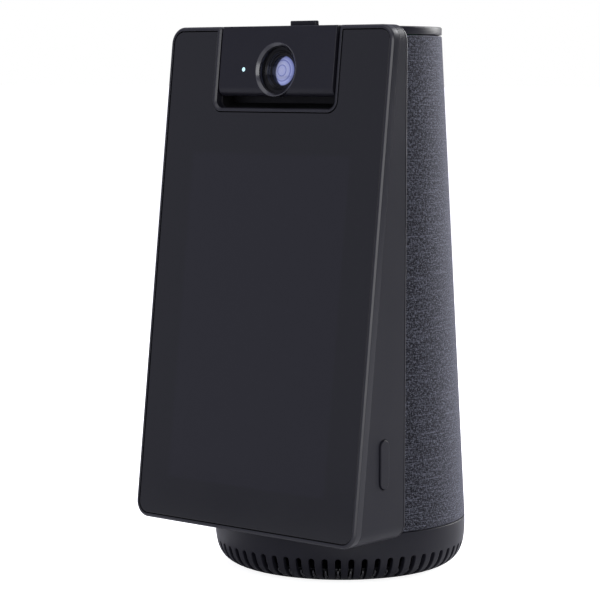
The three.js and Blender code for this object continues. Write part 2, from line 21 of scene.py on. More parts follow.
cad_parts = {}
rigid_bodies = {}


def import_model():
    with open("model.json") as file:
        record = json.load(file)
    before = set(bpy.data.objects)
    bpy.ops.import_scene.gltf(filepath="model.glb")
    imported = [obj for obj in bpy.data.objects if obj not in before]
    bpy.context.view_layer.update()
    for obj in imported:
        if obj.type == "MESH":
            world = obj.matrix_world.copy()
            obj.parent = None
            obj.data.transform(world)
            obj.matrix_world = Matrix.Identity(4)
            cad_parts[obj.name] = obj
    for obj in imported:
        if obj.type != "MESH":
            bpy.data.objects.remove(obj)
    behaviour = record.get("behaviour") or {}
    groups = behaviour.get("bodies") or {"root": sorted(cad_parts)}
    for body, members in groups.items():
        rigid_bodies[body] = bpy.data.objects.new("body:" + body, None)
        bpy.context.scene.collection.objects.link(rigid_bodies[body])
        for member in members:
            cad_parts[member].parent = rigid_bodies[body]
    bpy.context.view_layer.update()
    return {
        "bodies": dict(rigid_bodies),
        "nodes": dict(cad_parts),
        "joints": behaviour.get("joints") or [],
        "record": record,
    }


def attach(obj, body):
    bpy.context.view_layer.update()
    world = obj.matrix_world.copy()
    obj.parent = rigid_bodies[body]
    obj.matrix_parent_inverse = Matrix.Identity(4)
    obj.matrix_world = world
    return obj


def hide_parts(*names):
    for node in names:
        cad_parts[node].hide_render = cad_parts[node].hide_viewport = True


LOG = logging.getLogger("smart_speaker")
MM = 0.001
SHARP = math.radians(38)  # edges that turn more than this stay crisp
WELD = 0.002  # doubled points this near each other are one
MIC_REACH = 40.0  # from the body's axis to a microphone hole
MIC_HOLE = 0.7
LAND = 1.3  # inset of a flat face's border row, for each millimetre of its edge's radius

Material = bpy.types.Material
Piece = bpy.types.Object
Tree = bpy.types.NodeTree
Socket = bpy.types.NodeSocket

SPEAKER = "speaker"
CAMERA_HEAD = "camera_head"
BUTTON_BODY = "side_button"


# ---------------------------------------------------------------- shapes


@dataclass(frozen=True)
class Plane:
    """A drawing plane: two axes to draw on and a third, square to both, to build along."""

    origin: tuple[float, float, float]
    across: tuple[float, float, float]
    up: tuple[float, float, float]
    out: tuple[float, float, float]

    def place(self, drawn: np.ndarray, height: Any) -> np.ndarray:
        """Puts drawn points into space: origin + a * across + b * up + height * out.

        Args:
            drawn: points (..., 2) on the plane.
            height: distance along out, one number or one for each point.

        Returns:
            The points (..., 3).
        """
        lift = np.broadcast_to(np.asarray(height, float), drawn.shape[:-1])[..., None]
        return (
            np.array(self.origin)
            + drawn[..., :1] * np.array(self.across)
            + drawn[..., 1:] * np.array(self.up)
            + lift * np.array(self.out)
        )


SIDE_ON = Plane((0, 0, 0), (0, 1, 0), (0, 0, 1), (1, 0, 0))
FROM_ABOVE = Plane((0, 0, 0), (1, 0, 0), (0, 1, 0), (0, 0, 1))
FROM_BEHIND = Plane((0, 0, 0), (-1, 0, 0), (0, 0, 1), (0, 1, 0))


def corner_arc(
    before: np.ndarray, at: np.ndarray, after: np.ndarray, radius: float, steps: int
) -> tuple[np.ndarray, np.ndarray]:
    """Rounds one corner of a line, which turns left round a solid outline.

    The arc starts radius * tan(half the turn) before the corner. Its points are centre +
    first * cos t + across * sin t, where first is the radius there and across is square to it.

    Args:
        before, at, after: the corner and its neighbours.
        radius: of the arc; zero keeps the corner as one mitred point.
        steps: number of pieces in the arc.

    Returns:
        Points (n, 2) and outward normals (n, 2), whose length at a mitre keeps offsets even.
    """
    into = (at - before) / np.linalg.norm(at - before)
    away = (after - at) / np.linalg.norm(after - at)
    turn = into[0] * away[1] - into[1] * away[0]
    if radius <= 0:
        both = np.array([into[1] + away[1], -into[0] - away[0]])
        return at[None], (both / (1 + into @ away))[None]
    angle = math.atan2(abs(turn), into @ away)
    reach = radius * math.tan(angle / 2)
    side = 1.0 if turn > 0 else -1.0
    start = at - into * reach
    centre = start + side * radius * np.array([-into[1], into[0]])
    sweep = np.linspace(0, angle * side, steps + 1)
    first = start - centre
    across = np.array([-first[1], first[0]])
    spun = np.cos(sweep)[:, None] * first + np.sin(sweep)[:, None] * across
    return centre + spun, side * spun / radius


def ring_of(radius: Any, turn: Any, z: Any) -> np.ndarray:
    """Points round +Z: radius * cos t, radius * sin t, z, each a number or an array."""
    return np.stack(np.broadcast_arrays(radius * np.cos(turn), radius * np.sin(turn), z), -1)


@dataclass(frozen=True)
class Outline:
    """A closed line drawn anticlockwise, with an outward normal at each point."""

    points: np.ndarray
    normals: np.ndarray

    @staticmethod
    def rounded(
        corners: Sequence[Sequence[float]], radii: Sequence[float] | float, steps: int = 8
    ) -> "Outline":
        """An outline through corners, each rounded by its radius.

        Args:
            corners: anticlockwise, (a, b) pairs.
            radii: one for each corner, or one for all.
            steps: number of pieces in each arc.

        Returns:
            The outline.
        """
        at = np.array(corners, float)
        all_radii = np.broadcast_to(np.asarray(radii, float), len(at))
        arcs = [
            corner_arc(at[i - 1], at[i], at[(i + 1) % len(at)], all_radii[i], steps)
            for i in range(len(at))
        ]
        return Outline(np.vstack([a[0] for a in arcs]), np.vstack([a[1] for a in arcs]))

    @staticmethod
    def box(a0: float, b0: float, a1: float, b1: float, radius: float, steps: int = 8) -> "Outline":
        """A rectangle with equal rounded corners."""
        return Outline.rounded([(a0, b0), (a1, b0), (a1, b1), (a0, b1)], radius, steps)

    @staticmethod
    def circle(a: float, b: float, radius: float, count: int = 64) -> "Outline":
        """A circle of count points round (a, b)."""
        turn = np.linspace(0, 2 * np.pi, count, endpoint=False)
        spokes = np.stack([np.cos(turn), np.sin(turn)], 1)
        return Outline(np.array([a, b]) + radius * spokes, spokes)

    def grown(self, by: float) -> np.ndarray:
        """Every point moved out along its normal by that much."""
        return self.points + by * self.normals


def rounded_path(
    corners: Sequence[Sequence[float]], radius: Sequence[float] | float, steps: int = 4
) -> np.ndarray:
    """An open line whose inner corners are rounded, each arc between two short straight runs.

    Args:
        corners: (a, b) pairs; the first and the last stay as they are.
        radius: one for each inner corner, or one for all.
        steps: number of pieces in each arc.

    Returns:
        The points (n, 2).
    """
    at = np.array(corners, float)
    radii = np.broadcast_to(np.asarray(radius, float), len(at) - 2)
    arcs = [
        corner_arc(at[i], at[i + 1], at[i + 2], radii[i], steps)[0] for i in range(len(at) - 2)
    ]
    return np.vstack([at[:1], *arcs, at[-1:]])


class Draft:
    """Points and faces of one piece, gathered patch by patch before they become a mesh."""

    def __init__(self) -> None:
        """Starts empty."""
        self.points: list[np.ndarray] = []
        self.faces: list[list[int]] = []
        self.uv: np.ndarray | None = None
        self.count = 0

    def patch(
        self, grid: np.ndarray, close_rows: bool = False, close_columns: bool = False
    ) -> np.ndarray:
        """Adds a grid of points with a four-sided face between each four neighbours.

        A face looks along (next column - this one) x (next row - this one).

        Args:
            grid: (rows, columns, 3).
            close_rows: joins the last row to the first.
            close_columns: joins the last column to the first.

        Returns:
            Each point's number, (rows, columns).
        """
        rows, columns = grid.shape[:2]
        index = self.count + np.arange(rows * columns).reshape(rows, columns)
        self.points.append(grid.reshape(-1, 3))
        self.count += rows * columns
        ring = np.vstack([index, index[:1]]) if close_rows else index
        ring = np.hstack([ring, ring[:, :1]]) if close_columns else ring
        quads = np.stack([ring[:-1, :-1], ring[:-1, 1:], ring[1:, 1:], ring[1:, :-1]], -1)
        self.faces.extend(quads.reshape(-1, 4).tolist())
        return index

    def lid(self, row: np.ndarray, flip: bool = False) -> None:
        """Closes a row of points with one flat face; flip turns it over."""
        self.faces.append((row[::-1] if flip else row).tolist())

    def loft(self, rows: Sequence[np.ndarray], lids: bool = True) -> "Draft":
        """Adds closed rows of points one above the other, with a lid at each end if asked."""
        index = self.patch(np.stack(rows), close_columns=True)
        if lids:
            self.lid(index[0], flip=True)
            self.lid(index[-1])
        return self

    def finish(self, name: str, material: Material, weld: bool = True) -> Piece:
        """Makes the mesh object at the origin, still in millimetres.

        Args:
            name: of the piece.
            material: that it wears.
            weld: merges doubled points and turns every face outwards; off for open cloth.

        Returns:
            The object.
        """
        mesh = bpy.data.meshes.new(name)
        mesh.from_pydata(np.vstack(self.points).tolist(), [], self.faces)
        if self.uv is not None:
            corner = np.zeros(len(mesh.loops), np.int32)
            mesh.loops.foreach_get("vertex_index", corner)
            layer = mesh.uv_layers.new(name="Threads")
            layer.data.foreach_set("uv", self.uv[corner].astype(np.float32).ravel())
        piece = bpy.data.objects.new(name, mesh)
        bpy.context.scene.collection.objects.link(piece)
        mesh.materials.append(material)
        if weld:
            clean(piece)
        smooth(piece)
        return piece


def clean(piece: Piece) -> None:
    """Merges doubled points, turns faces outwards and parts many-sided faces into triangles."""
    shell = bmesh.new()
    shell.from_mesh(piece.data)
    bmesh.ops.remove_doubles(shell, verts=shell.verts, dist=WELD)
    bmesh.ops.dissolve_degenerate(shell, edges=shell.edges, dist=WELD)
    bmesh.ops.recalc_face_normals(shell, faces=shell.faces)
    bmesh.ops.triangulate(shell, faces=[f for f in shell.faces if len(f.verts) > 4])
    shell.to_mesh(piece.data)
    shell.free()


def smooth(piece: Piece) -> None:
    """Shades a piece smooth, with a crisp edge wherever it turns sharply."""
    piece.data.shade_smooth()
    piece.data.set_sharp_from_angle(angle=SHARP)


class How(Enum):
    """How a second shape joins a piece."""

    ADD = "UNION"
    CUT = "DIFFERENCE"


def combine(piece: Piece, shape: Draft, how: How) -> None:
    """Adds a shape to a piece or cuts it away; the piece keeps its one material."""
    dress = piece.data.materials[0]
    tool = shape.finish("tool", dress)
    step = piece.modifiers.new("combine", "BOOLEAN")
    step.operation, step.object, step.solver = how.value, tool, "MANIFOLD"
    bpy.context.view_layer.update()
    made = bpy.data.meshes.new_from_object(
        piece.evaluated_get(bpy.context.evaluated_depsgraph_get())
    )
    piece.modifiers.clear()
    piece.data = made
    made.materials.clear()
    made.materials.append(dress)
    made.polygons.foreach_set("material_index", np.zeros(len(made.polygons), np.int32))
    bpy.data.objects.remove(tool)
    clean(piece)
    smooth(piece)


def split(piece: Piece, point: Vector, keep: Vector) -> None:
    """Cuts a closed piece by a plane, keeps the side that keep points to, and closes it."""
    shell = bmesh.new()
    shell.from_mesh(piece.data)
    cut = bmesh.ops.bisect_plane(
        shell,
        geom=[*shell.verts, *shell.edges, *shell.faces],
        plane_co=point,
        plane_no=keep,
        clear_inner=True,
    )
    rim = [e for e in cut["geom_cut"] if isinstance(e, bmesh.types.BMEdge)]
    bmesh.ops.contextual_create(shell, geom=rim)
    shell.to_mesh(piece.data)
    shell.free()
    clean(piece)
    smooth(piece)


def edge_rows(
    low: float, high: float, round_low: float, round_high: float, steps: int = 4
) -> list[tuple[float, float]]:
    """How a prism's outline shrinks and rises: rounded bottom edge, wall, rounded top edge.

    A quarter round of radius r has inset r - r sin t and height r - r cos t, from its flat end.
    One more row on the flat, LAND x r in, keeps the round's shading off the flat face. An
    outline's own corners have to be rounder than that row's inset.

    Args:
        low, high: heights of the two flat ends.
        round_low, round_high: edge radii at each end.
        steps: pieces in each quarter round.

    Returns:
        Pairs of inset and height, from the bottom up.
    """

    def quarter(r: float) -> list[tuple[float, float]]:
        """Insets and heights of one end, from its flat to the wall."""
        if r <= 0:
            return [(0.0, 0.0)]
        turn = np.linspace(0, np.pi / 2, steps + 1)
        return [(r * LAND, 0.0)] + [(r * (1 - math.sin(t)), r * (1 - math.cos(t))) for t in turn]

    rows = [(inset, low + h) for inset, h in quarter(round_low)]
    return rows + [(inset, high - h) for inset, h in reversed(quarter(round_high))]


def prism(
    outline: Outline, plane: Plane, low: float, high: float,
    round_low: float = 0.0, round_high: float = 0.0,
) -> Draft:
    """A solid with that outline between two heights over a plane, its end edges rounded.

    Args:
        outline: drawn on the plane.
        plane: where it is drawn.
        low, high: where its two flat ends are.
        round_low, round_high: edge radii at each end.

    Returns:
        The draft.
    """
    rows = edge_rows(low, high, round_low, round_high)
    return Draft().loft([plane.place(outline.grown(-inset), h) for inset, h in rows])


def lathe(
    profile: np.ndarray, plane: Plane = FROM_ABOVE, at: tuple[float, float] = (0, 0),
    count: int = 96,
) -> Draft:
    """A profile of (radius, height) pairs turned about an axis that stands on a plane.

    A point is at + radius * (cos t, sin t) on the plane and height over it. The profile closes
    on itself, or on the axis where its ends have no radius.

    Args:
        profile: (n, 2).
        plane: that the axis stands on.
        at: foot of the axis.
        count: number of facets round.

    Returns:
        The draft.
    """
    spokes = Outline.circle(0, 0, 1.0, count).points
    drawn = np.array(at) + profile[:, None, :1] * spokes[None]
    grid = plane.place(drawn, np.broadcast_to(profile[:, 1:], drawn.shape[:2]))
    meets_axis = profile[0, 0] <= 0 and profile[-1, 0] <= 0
    made = Draft()
    made.patch(grid, close_rows=not meets_axis, close_columns=True)
    return made


def bezier(points: Sequence[Sequence[float]], count: int) -> np.ndarray:
    """A cubic curve: the sum of each handle times its share, (1-t)^3, 3t(1-t)^2, 3t^2(1-t), t^3."""
    t = np.linspace(0, 1, count + 1)[:, None]
    shares = np.hstack([(1 - t) ** 3, 3 * t * (1 - t) ** 2, 3 * t * t * (1 - t), t**3])
    return shares @ np.array(points, float)


# ---------------------------------------------------------------- finishes


def linear(code: str) -> tuple[float, float, float, float]:
    """An sRGB hex colour in linear light: c / 12.92, or ((c + 0.055) / 1.055)^2.4 past 0.04045."""
    parts = [int(code.lstrip("#")[i : i + 2], 16) / 255 for i in (0, 2, 4)]
    made = [c / 12.92 if c <= 0.04045 else ((c + 0.055) / 1.055) ** 2.4 for c in parts]
    return (made[0], made[1], made[2], 1.0)


def per_mm(size: float) -> float:
    """The texture scale that makes one feature about size millimetres on metre coordinates."""
    return 1.0 / (size * MM)


def feed(tree: Tree, node: bpy.types.Node, inputs: dict[Any, Any]) -> None:
    """Gives each named input a value, or links it to the output socket that feeds it."""
    for key, value in inputs.items():
        if isinstance(value, Socket):
            tree.links.new(value, node.inputs[key])
        else:
            node.inputs[key].default_value = value


def add(tree: Tree, kind: str, inputs: dict[Any, Any], **settings: Any) -> bpy.types.Node:
    """Adds one node.

    Args:
        tree: to add it to.
        kind: the node's type name.
        inputs: for each input socket, a value or the output socket that feeds it.
        settings: attributes of the node.

    Returns:
        The node.
    """
    made = tree.nodes.new(kind)
    for key, value in settings.items():
        setattr(made, key, value)
    feed(tree, made, inputs)
    return made


def maths(tree: Tree, operation: str, *values: Any, **settings: Any) -> Socket:
    """One step of arithmetic on one or two values."""
    made = add(tree, "ShaderNodeMath", dict(enumerate(values)), operation=operation, **settings)
    return made.outputs[0]


def remap(
    tree: Tree, value: Socket, span: tuple[float, float], to: tuple[float, float] = (0.0, 1.0)
) -> Socket:
    """A value stretched from one span to another and held at its ends."""
    ends = {"From Min": span[0], "From Max": span[1], "To Min": to[0], "To Max": to[1]}
    return add(tree, "ShaderNodeMapRange", {"Value": value, **ends}).outputs[0]


def blend(tree: Tree, share: Socket, low: Any, high: Any, kind: str = "RGBA") -> Socket:
    """The colour, or the number, that lies share of the way from low to high."""
    inputs = {"Factor": share, "A": low, "B": high}
    return add(tree, "ShaderNodeMix", inputs, data_type=kind).outputs["Result"]


def noise(
    tree: Tree, place: Socket, scale: float, detail: float = 2.0, roughness: float = 0.5
) -> Socket:
    """Cloudy noise from 0 to 1."""
    inputs = {"Vector": place, "Scale": scale, "Detail": detail, "Roughness": roughness}
    return add(tree, "ShaderNodeTexNoise", inputs).outputs["Fac"]


def stretched(
    tree: Tree, place: Socket, sizes: Sequence[float], seed: float = 0.0
) -> Socket:
    """Coordinates on which one unit is sizes millimetres along each axis, shifted by seed."""
    scale = tuple(per_mm(size) for size in sizes)
    inputs = {"Vector": place, "Location": (seed, seed, 0.0), "Scale": scale}
    return add(tree, "ShaderNodeMapping", inputs).outputs[0]


def bump(tree: Tree, height: Socket, strength: float, depth: float) -> Socket:
    """Surface relief, depth millimetres high."""
    inputs = {"Height": height, "Strength": strength, "Distance": depth * MM}
    return add(tree, "ShaderNodeBump", inputs).outputs[0]


class Coordinates(Enum):
    """Which coordinates a pattern reads."""

    OBJECT = "Object"
    UV = "UV"


class Finish:
    """Base of the finishes: a material whose Principled shader is fed by look()."""

    name: str
    where = Coordinates.OBJECT

    def look(self, tree: Tree, place: Socket) -> dict[str, Any]:
        """Draws the finish's patterns.

        Args:
            tree: the material's nodes.
            place: the coordinates that the patterns read, in metres.

        Returns:
            For each input of the shader, a value or the socket that feeds it.
        """
        raise NotImplementedError

    def material(self) -> Material:
        """The finished material."""
        material = bpy.data.materials.new(self.name)
        material.use_nodes = True
        tree = material.node_tree
        place = add(tree, "ShaderNodeTexCoord", {}).outputs[self.where.value]
        feed(tree, tree.nodes["Principled BSDF"], self.look(tree, place))
        return material


@dataclass(frozen=True)
class Moulded(Finish):
    """Injection-moulded ABS with a spark-eroded texture.

    The eye sees an even dark colour, a soft highlight that breaks up into fine grain, and very
    slight cloudy changes of gloss from flow in the mould.
    """

    name: str
    pigment: str
    roughness: float = 0.42
    grain: float = 0.45  # mm; the real 0.1 mm grain is drawn coarser so that it shows
    depth: float = 0.012
    cloud: float = 0.05
    specular: float = 0.5
    flow: float = 38.0  # mm across one cloud
    flow_span: tuple[float, float] = (0.3, 0.7)

    def look(self, tree: Tree, place: Socket) -> dict[str, Any]:
        """Clouds of tone and gloss, and the grain's relief."""
        clouds = noise(tree, place, per_mm(self.flow), 3.0)
        tone = remap(tree, clouds, self.flow_span, (0.93, 1.07))
        pigment = {0: linear(self.pigment)[:3], "Scale": tone}
        dull, sharp = self.roughness - self.cloud, self.roughness + self.cloud
        grain = noise(tree, place, per_mm(self.grain))
        return {
            "Base Color": add(tree, "ShaderNodeVectorMath", pigment, operation="SCALE").outputs[0],
            "Roughness": remap(tree, clouds, self.flow_span, (dull, sharp)),
            "Normal": bump(tree, grain, 0.6, self.depth),
            "IOR": 1.53,
            "Specular IOR Level": self.specular,
        }


@dataclass(frozen=True)
class CoverGlass(Finish):
    """Chemically hardened cover glass, black ink printed on its back round the picture area.

    The eye sees a flat near-black mirror of the room, and through it the switched-off display,
    which is a shade lighter and bluer than the ink. Fingertip haze makes the gloss uneven.
    """

    name: str = "cover glass, back-printed"
    ink: str = "#08090A"
    display: str = "#0E0E13"
    half_width: float = 53.8
    low: float = 51.4
    high: float = 222.3
    soft: float = 0.25  # mm over which the ink's edge fades

    def look(self, tree: Tree, place: Socket) -> dict[str, Any]:
        """The window in the ink, as long as the place is between its sides, and the haze."""
        axes = add(tree, "ShaderNodeSeparateXYZ", {"Vector": place}).outputs

        def past(position: Socket, edge: float, to: tuple[float, float]) -> Socket:
            """A soft step where a position passes an edge."""
            return remap(tree, position, ((edge - self.soft) * MM, (edge + self.soft) * MM), to)

        on, off = (0.0, 1.0), (1.0, 0.0)
        across, up = maths(tree, "ABSOLUTE", axes["X"]), axes["Z"]
        band = maths(tree, "MULTIPLY", past(up, self.low, on), past(up, self.high, off))
        window = maths(tree, "MULTIPLY", band, past(across, self.half_width, off))
        haze = noise(tree, place, per_mm(55), 4.0)
        return {
            "Base Color": blend(tree, window, linear(self.ink), linear(self.display)),
            "Roughness": remap(tree, haze, (0.35, 0.75), (0.05, 0.12)),
            "IOR": 1.51,
        }


@dataclass(frozen=True)
class MelangeCloth(Finish):
    """Acoustic cloth, plain-woven from charcoal melange polyester yarn.

    The eye sees tiny light and dark flecks that run a few threads each way, now and then a
    thicker light thread across, and a pale sheen where the cloth turns away.
    """

    where = Coordinates.UV
    name: str = "woven melange polyester"
    pitch: float = 0.8  # mm between threads; the real 0.4 mm is drawn coarser so that it shows
    dark: str = "#070708"
    light: str = "#62646D"
    sheen: str = "#C9CBDD"
    thread: float = 0.7  # mm across one fleck

    def look(self, tree: Tree, place: Socket) -> dict[str, Any]:
        """Dyed flecks on warp and weft, whichever is on top, with the threads' relief.

        A thread's round back is the sine of pi x position / pitch, and the sign of the two
        threads' product tells which one is on top.
        """
        axes = add(tree, "ShaderNodeSeparateXYZ", {"Vector": place}).outputs
        half_turn = math.pi * per_mm(self.pitch)
        warp, weft = (
            maths(tree, "SINE", maths(tree, "MULTIPLY", axes[axis], half_turn)) for axis in "XY"
        )
        over = maths(tree, "MULTIPLY", warp, weft)

        def yarn(sizes: tuple[float, float], seed: float) -> Socket:
            """Flecks of dye, sizes millimetres across and up the cloth."""
            return noise(tree, stretched(tree, place, (*sizes, 1.0), seed), 1.0, roughness=0.6)

        flecks = blend(
            tree, remap(tree, over, (-0.35, 0.35)),
            yarn((self.thread, 1.7), 3.7), yarn((2.2, self.thread), 9.1), kind="FLOAT",
        )
        slubs = remap(tree, yarn((22.0, self.thread), 17.3), (0.56, 0.66), (0.0, 0.5))
        dye = remap(tree, flecks, (0.47, 0.64))
        shade = maths(tree, "ADD", dye, slubs, use_clamp=True)
        height = maths(tree, "ADD", maths(tree, "ABSOLUTE", over), dye)
        return {
            "Base Color": blend(tree, shade, linear(self.dark), linear(self.light)),
            "Normal": bump(tree, height, 0.7, 0.12),
            "Roughness": 0.85,
            "Specular IOR Level": 0.25,
            "Sheen Weight": 0.35,
            "Sheen Roughness": 0.45,
            "Sheen Tint": linear(self.sheen),
        }


@dataclass(frozen=True)
class Metal(Finish):
    """Turned, stamped or extruded metal: fine tool lines in one direction, softly mirrored."""

    name: str
    tint: str
    roughness: float = 0.3
    metallic: float = 1.0
    line: float = 0.3  # mm between tool lines
    run: float = 9.0  # mm that one line runs

    def look(self, tree: Tree, place: Socket) -> dict[str, Any]:
        """Noise drawn out along the tool's run, as gloss and as relief."""
        lines = noise(tree, stretched(tree, place, (self.line, self.line, self.run)), 1.0)
        gloss = (self.roughness - 0.08, self.roughness + 0.12)
        return {
            "Base Color": linear(self.tint),
            "Metallic": self.metallic,
            "Roughness": remap(tree, lines, (0.0, 1.0), gloss),
            "Normal": bump(tree, lines, 0.3, 0.01),
        }


@dataclass(frozen=True)
class LensPaintedReflection(Finish):
    """Ground glass lens with a multilayer anti-reflection coating.

    Its colour is a painted reflection: pale blue-white across the glass where the lights
    reflect, thin darker blue painted rings where the elements behind it begin, and a dark edge.
    """

    centre: tuple[float, float, float]
    radius: float = 8.0
    name: str = "lens glass, painted reflection"
    # painted reflection: pale blue-white glass, darker blue painted rings, dark at the edge
    painted_reflection_rings: tuple[tuple[float, str], ...] = (
        (0.0, "#DDE4FF"), (0.30, "#D3DBFF"), (0.36, "#8E9CD9"), (0.41, "#DCE3FF"),
        (0.62, "#CBD4FA"), (0.68, "#7C89C8"), (0.74, "#C6D0FA"), (0.9, "#9AA6DA"),
        (1.0, "#39405F"),
    )

    def look(self, tree: Tree, place: Socket) -> dict[str, Any]:
        """The painted reflection's colours, by distance from the lens's centre."""
        ends = {0: place, 1: tuple(c * MM for c in self.centre)}
        reach = add(tree, "ShaderNodeVectorMath", ends, operation="DISTANCE").outputs["Value"]
        ramp = add(tree, "ShaderNodeValToRGB", {"Fac": remap(tree, reach, (0.0, self.radius * MM))})
        stops = ramp.color_ramp.elements
        while len(stops) < len(self.painted_reflection_rings):
            stops.new(0.5)
        for stop, (at, code) in zip(stops, self.painted_reflection_rings):
            stop.position, stop.color = at, linear(code)
        return {
            "Base Color": ramp.outputs["Color"],
            "Metallic": 1.0,
            "Roughness": 0.12,
            "Coat Weight": 1.0,
            "Coat Roughness": 0.02,
        }


@dataclass(frozen=True)
class LitPipe(Finish):
    """Clear polycarbonate light pipe, lit cyan-white from behind, unevenly."""

    name: str = "polycarbonate light pipe, lit"
    glow: str = "#95D8E2"
    strength: float = 0.75

    def look(self, tree: Tree, place: Socket) -> dict[str, Any]:
        """The glow, whitened here and there."""
        cells = noise(tree, place, per_mm(0.8))
        return {
            "Base Color": linear(self.glow),
            "Roughness": 0.2,
            "Emission Color": blend(tree, cells, linear(self.glow), linear("#FFFFFF")),
            "Emission Strength": self.strength,
        }


@dataclass(frozen=True)
class SolderMask(Finish):
    """Green solder mask over copper tracks: straight tracks show as slightly lighter lines."""

    name: str = "circuit board solder mask"
    mask: str = "#12492C"
    track: str = "#2A7A4A"

    def look(self, tree: Tree, place: Socket) -> dict[str, Any]:
        """The tracks, as the joints of a brick pattern."""
        mask = linear(self.mask)
        cells = {
            "Vector": place, "Scale": per_mm(60), "Color1": mask, "Color2": mask,
            "Mortar": linear(self.track),
        }
        return {
            "Base Color": add(tree, "ShaderNodeTexBrick", cells).outputs["Color"],
            "Roughness": 0.35,
        }


@dataclass(frozen=True)
class Stage(Finish):
    """Matt white studio paint, rolled on: an even pale surface with the faintest roller mottle."""

    name: str = "matt white studio floor"
    paint: str = "#F7F7F8"
    glow: str = "#FFFFFF"
    lift: float = 0.9  # brings the floor up to the white of the backdrop

    def look(self, tree: Tree, place: Socket) -> dict[str, Any]:
        """The mottle, and a glow that only the camera sees."""
        seen = add(tree, "ShaderNodeLightPath", {}).outputs["Is Camera Ray"]
        return {
            "Base Color": linear(self.paint),
            "Roughness": remap(tree, noise(tree, place, 3.0), (0.0, 1.0), (0.85, 0.95)),
            "Specular IOR Level": 0.1,
            "Emission Color": linear(self.glow),
            "Emission Strength": maths(tree, "MULTIPLY", seen, self.lift),
        }


# ---------------------------------------------------------------- the display head


@dataclass
class HeadSizes:
    """Sizes of the display head, and the plane that its face lies in."""

    half_width: float = 76.0
    front: float = -80.4  # y of the face's bottom edge
    bottom: float = 28.2
    top: float = 288.0
    back: float = -39.3
    lean: float = math.radians(6.6)
    corner: float = 8.5
    lens_up: float = 239.1  # lens centre and pivot, measured up the face
    pivot_depth: float = 7.5

    @property
    def length(self) -> float:
        """Height of the face along its slope."""
        return (self.top - self.bottom) / math.cos(self.lean)

    @property
    def face(self) -> Plane:
        """The face: across it, up it, and out of it."""
        s, c = math.sin(self.lean), math.cos(self.lean)
        return Plane((0.0, self.front, self.bottom), (1, 0, 0), (0, s, c), (0, -c, s))

    @property
    def pivot(self) -> np.ndarray:
        """Centre of the camera's tilt axis."""
        return self.face.place(np.array([0.0, self.lens_up]), -self.pivot_depth)

    def face_y(self, z: Any) -> Any:
        """Depth of the face at a height: front + (z - bottom) * tan(lean)."""
        return self.front + (z - self.bottom) * math.tan(self.lean)


def notched(
    half: float, low: float, high: float, bay: float, floor: float,
    radii: tuple[float, float, float],
) -> Outline:
    """A rectangle with an open-topped bay in its upper edge.

    Args:
        half: its half width.
        low, high: its lower and upper edge.
        bay: the bay's half width.
        floor: the bay's lower edge.
        radii: of the outer corners, of the bay's mouth and of its floor.

    Returns:
        The outline, with ten pieces in each arc.
    """
    right = [(half, low), (half, high), (bay, high), (bay, floor)]
    left = [(-a, b) for a, b in reversed(right)]
    outer, mouth, inner = radii
    sides = [outer, outer, mouth, inner]
    return Outline.rounded([*right, *left], [*sides, *reversed(sides)], 10)


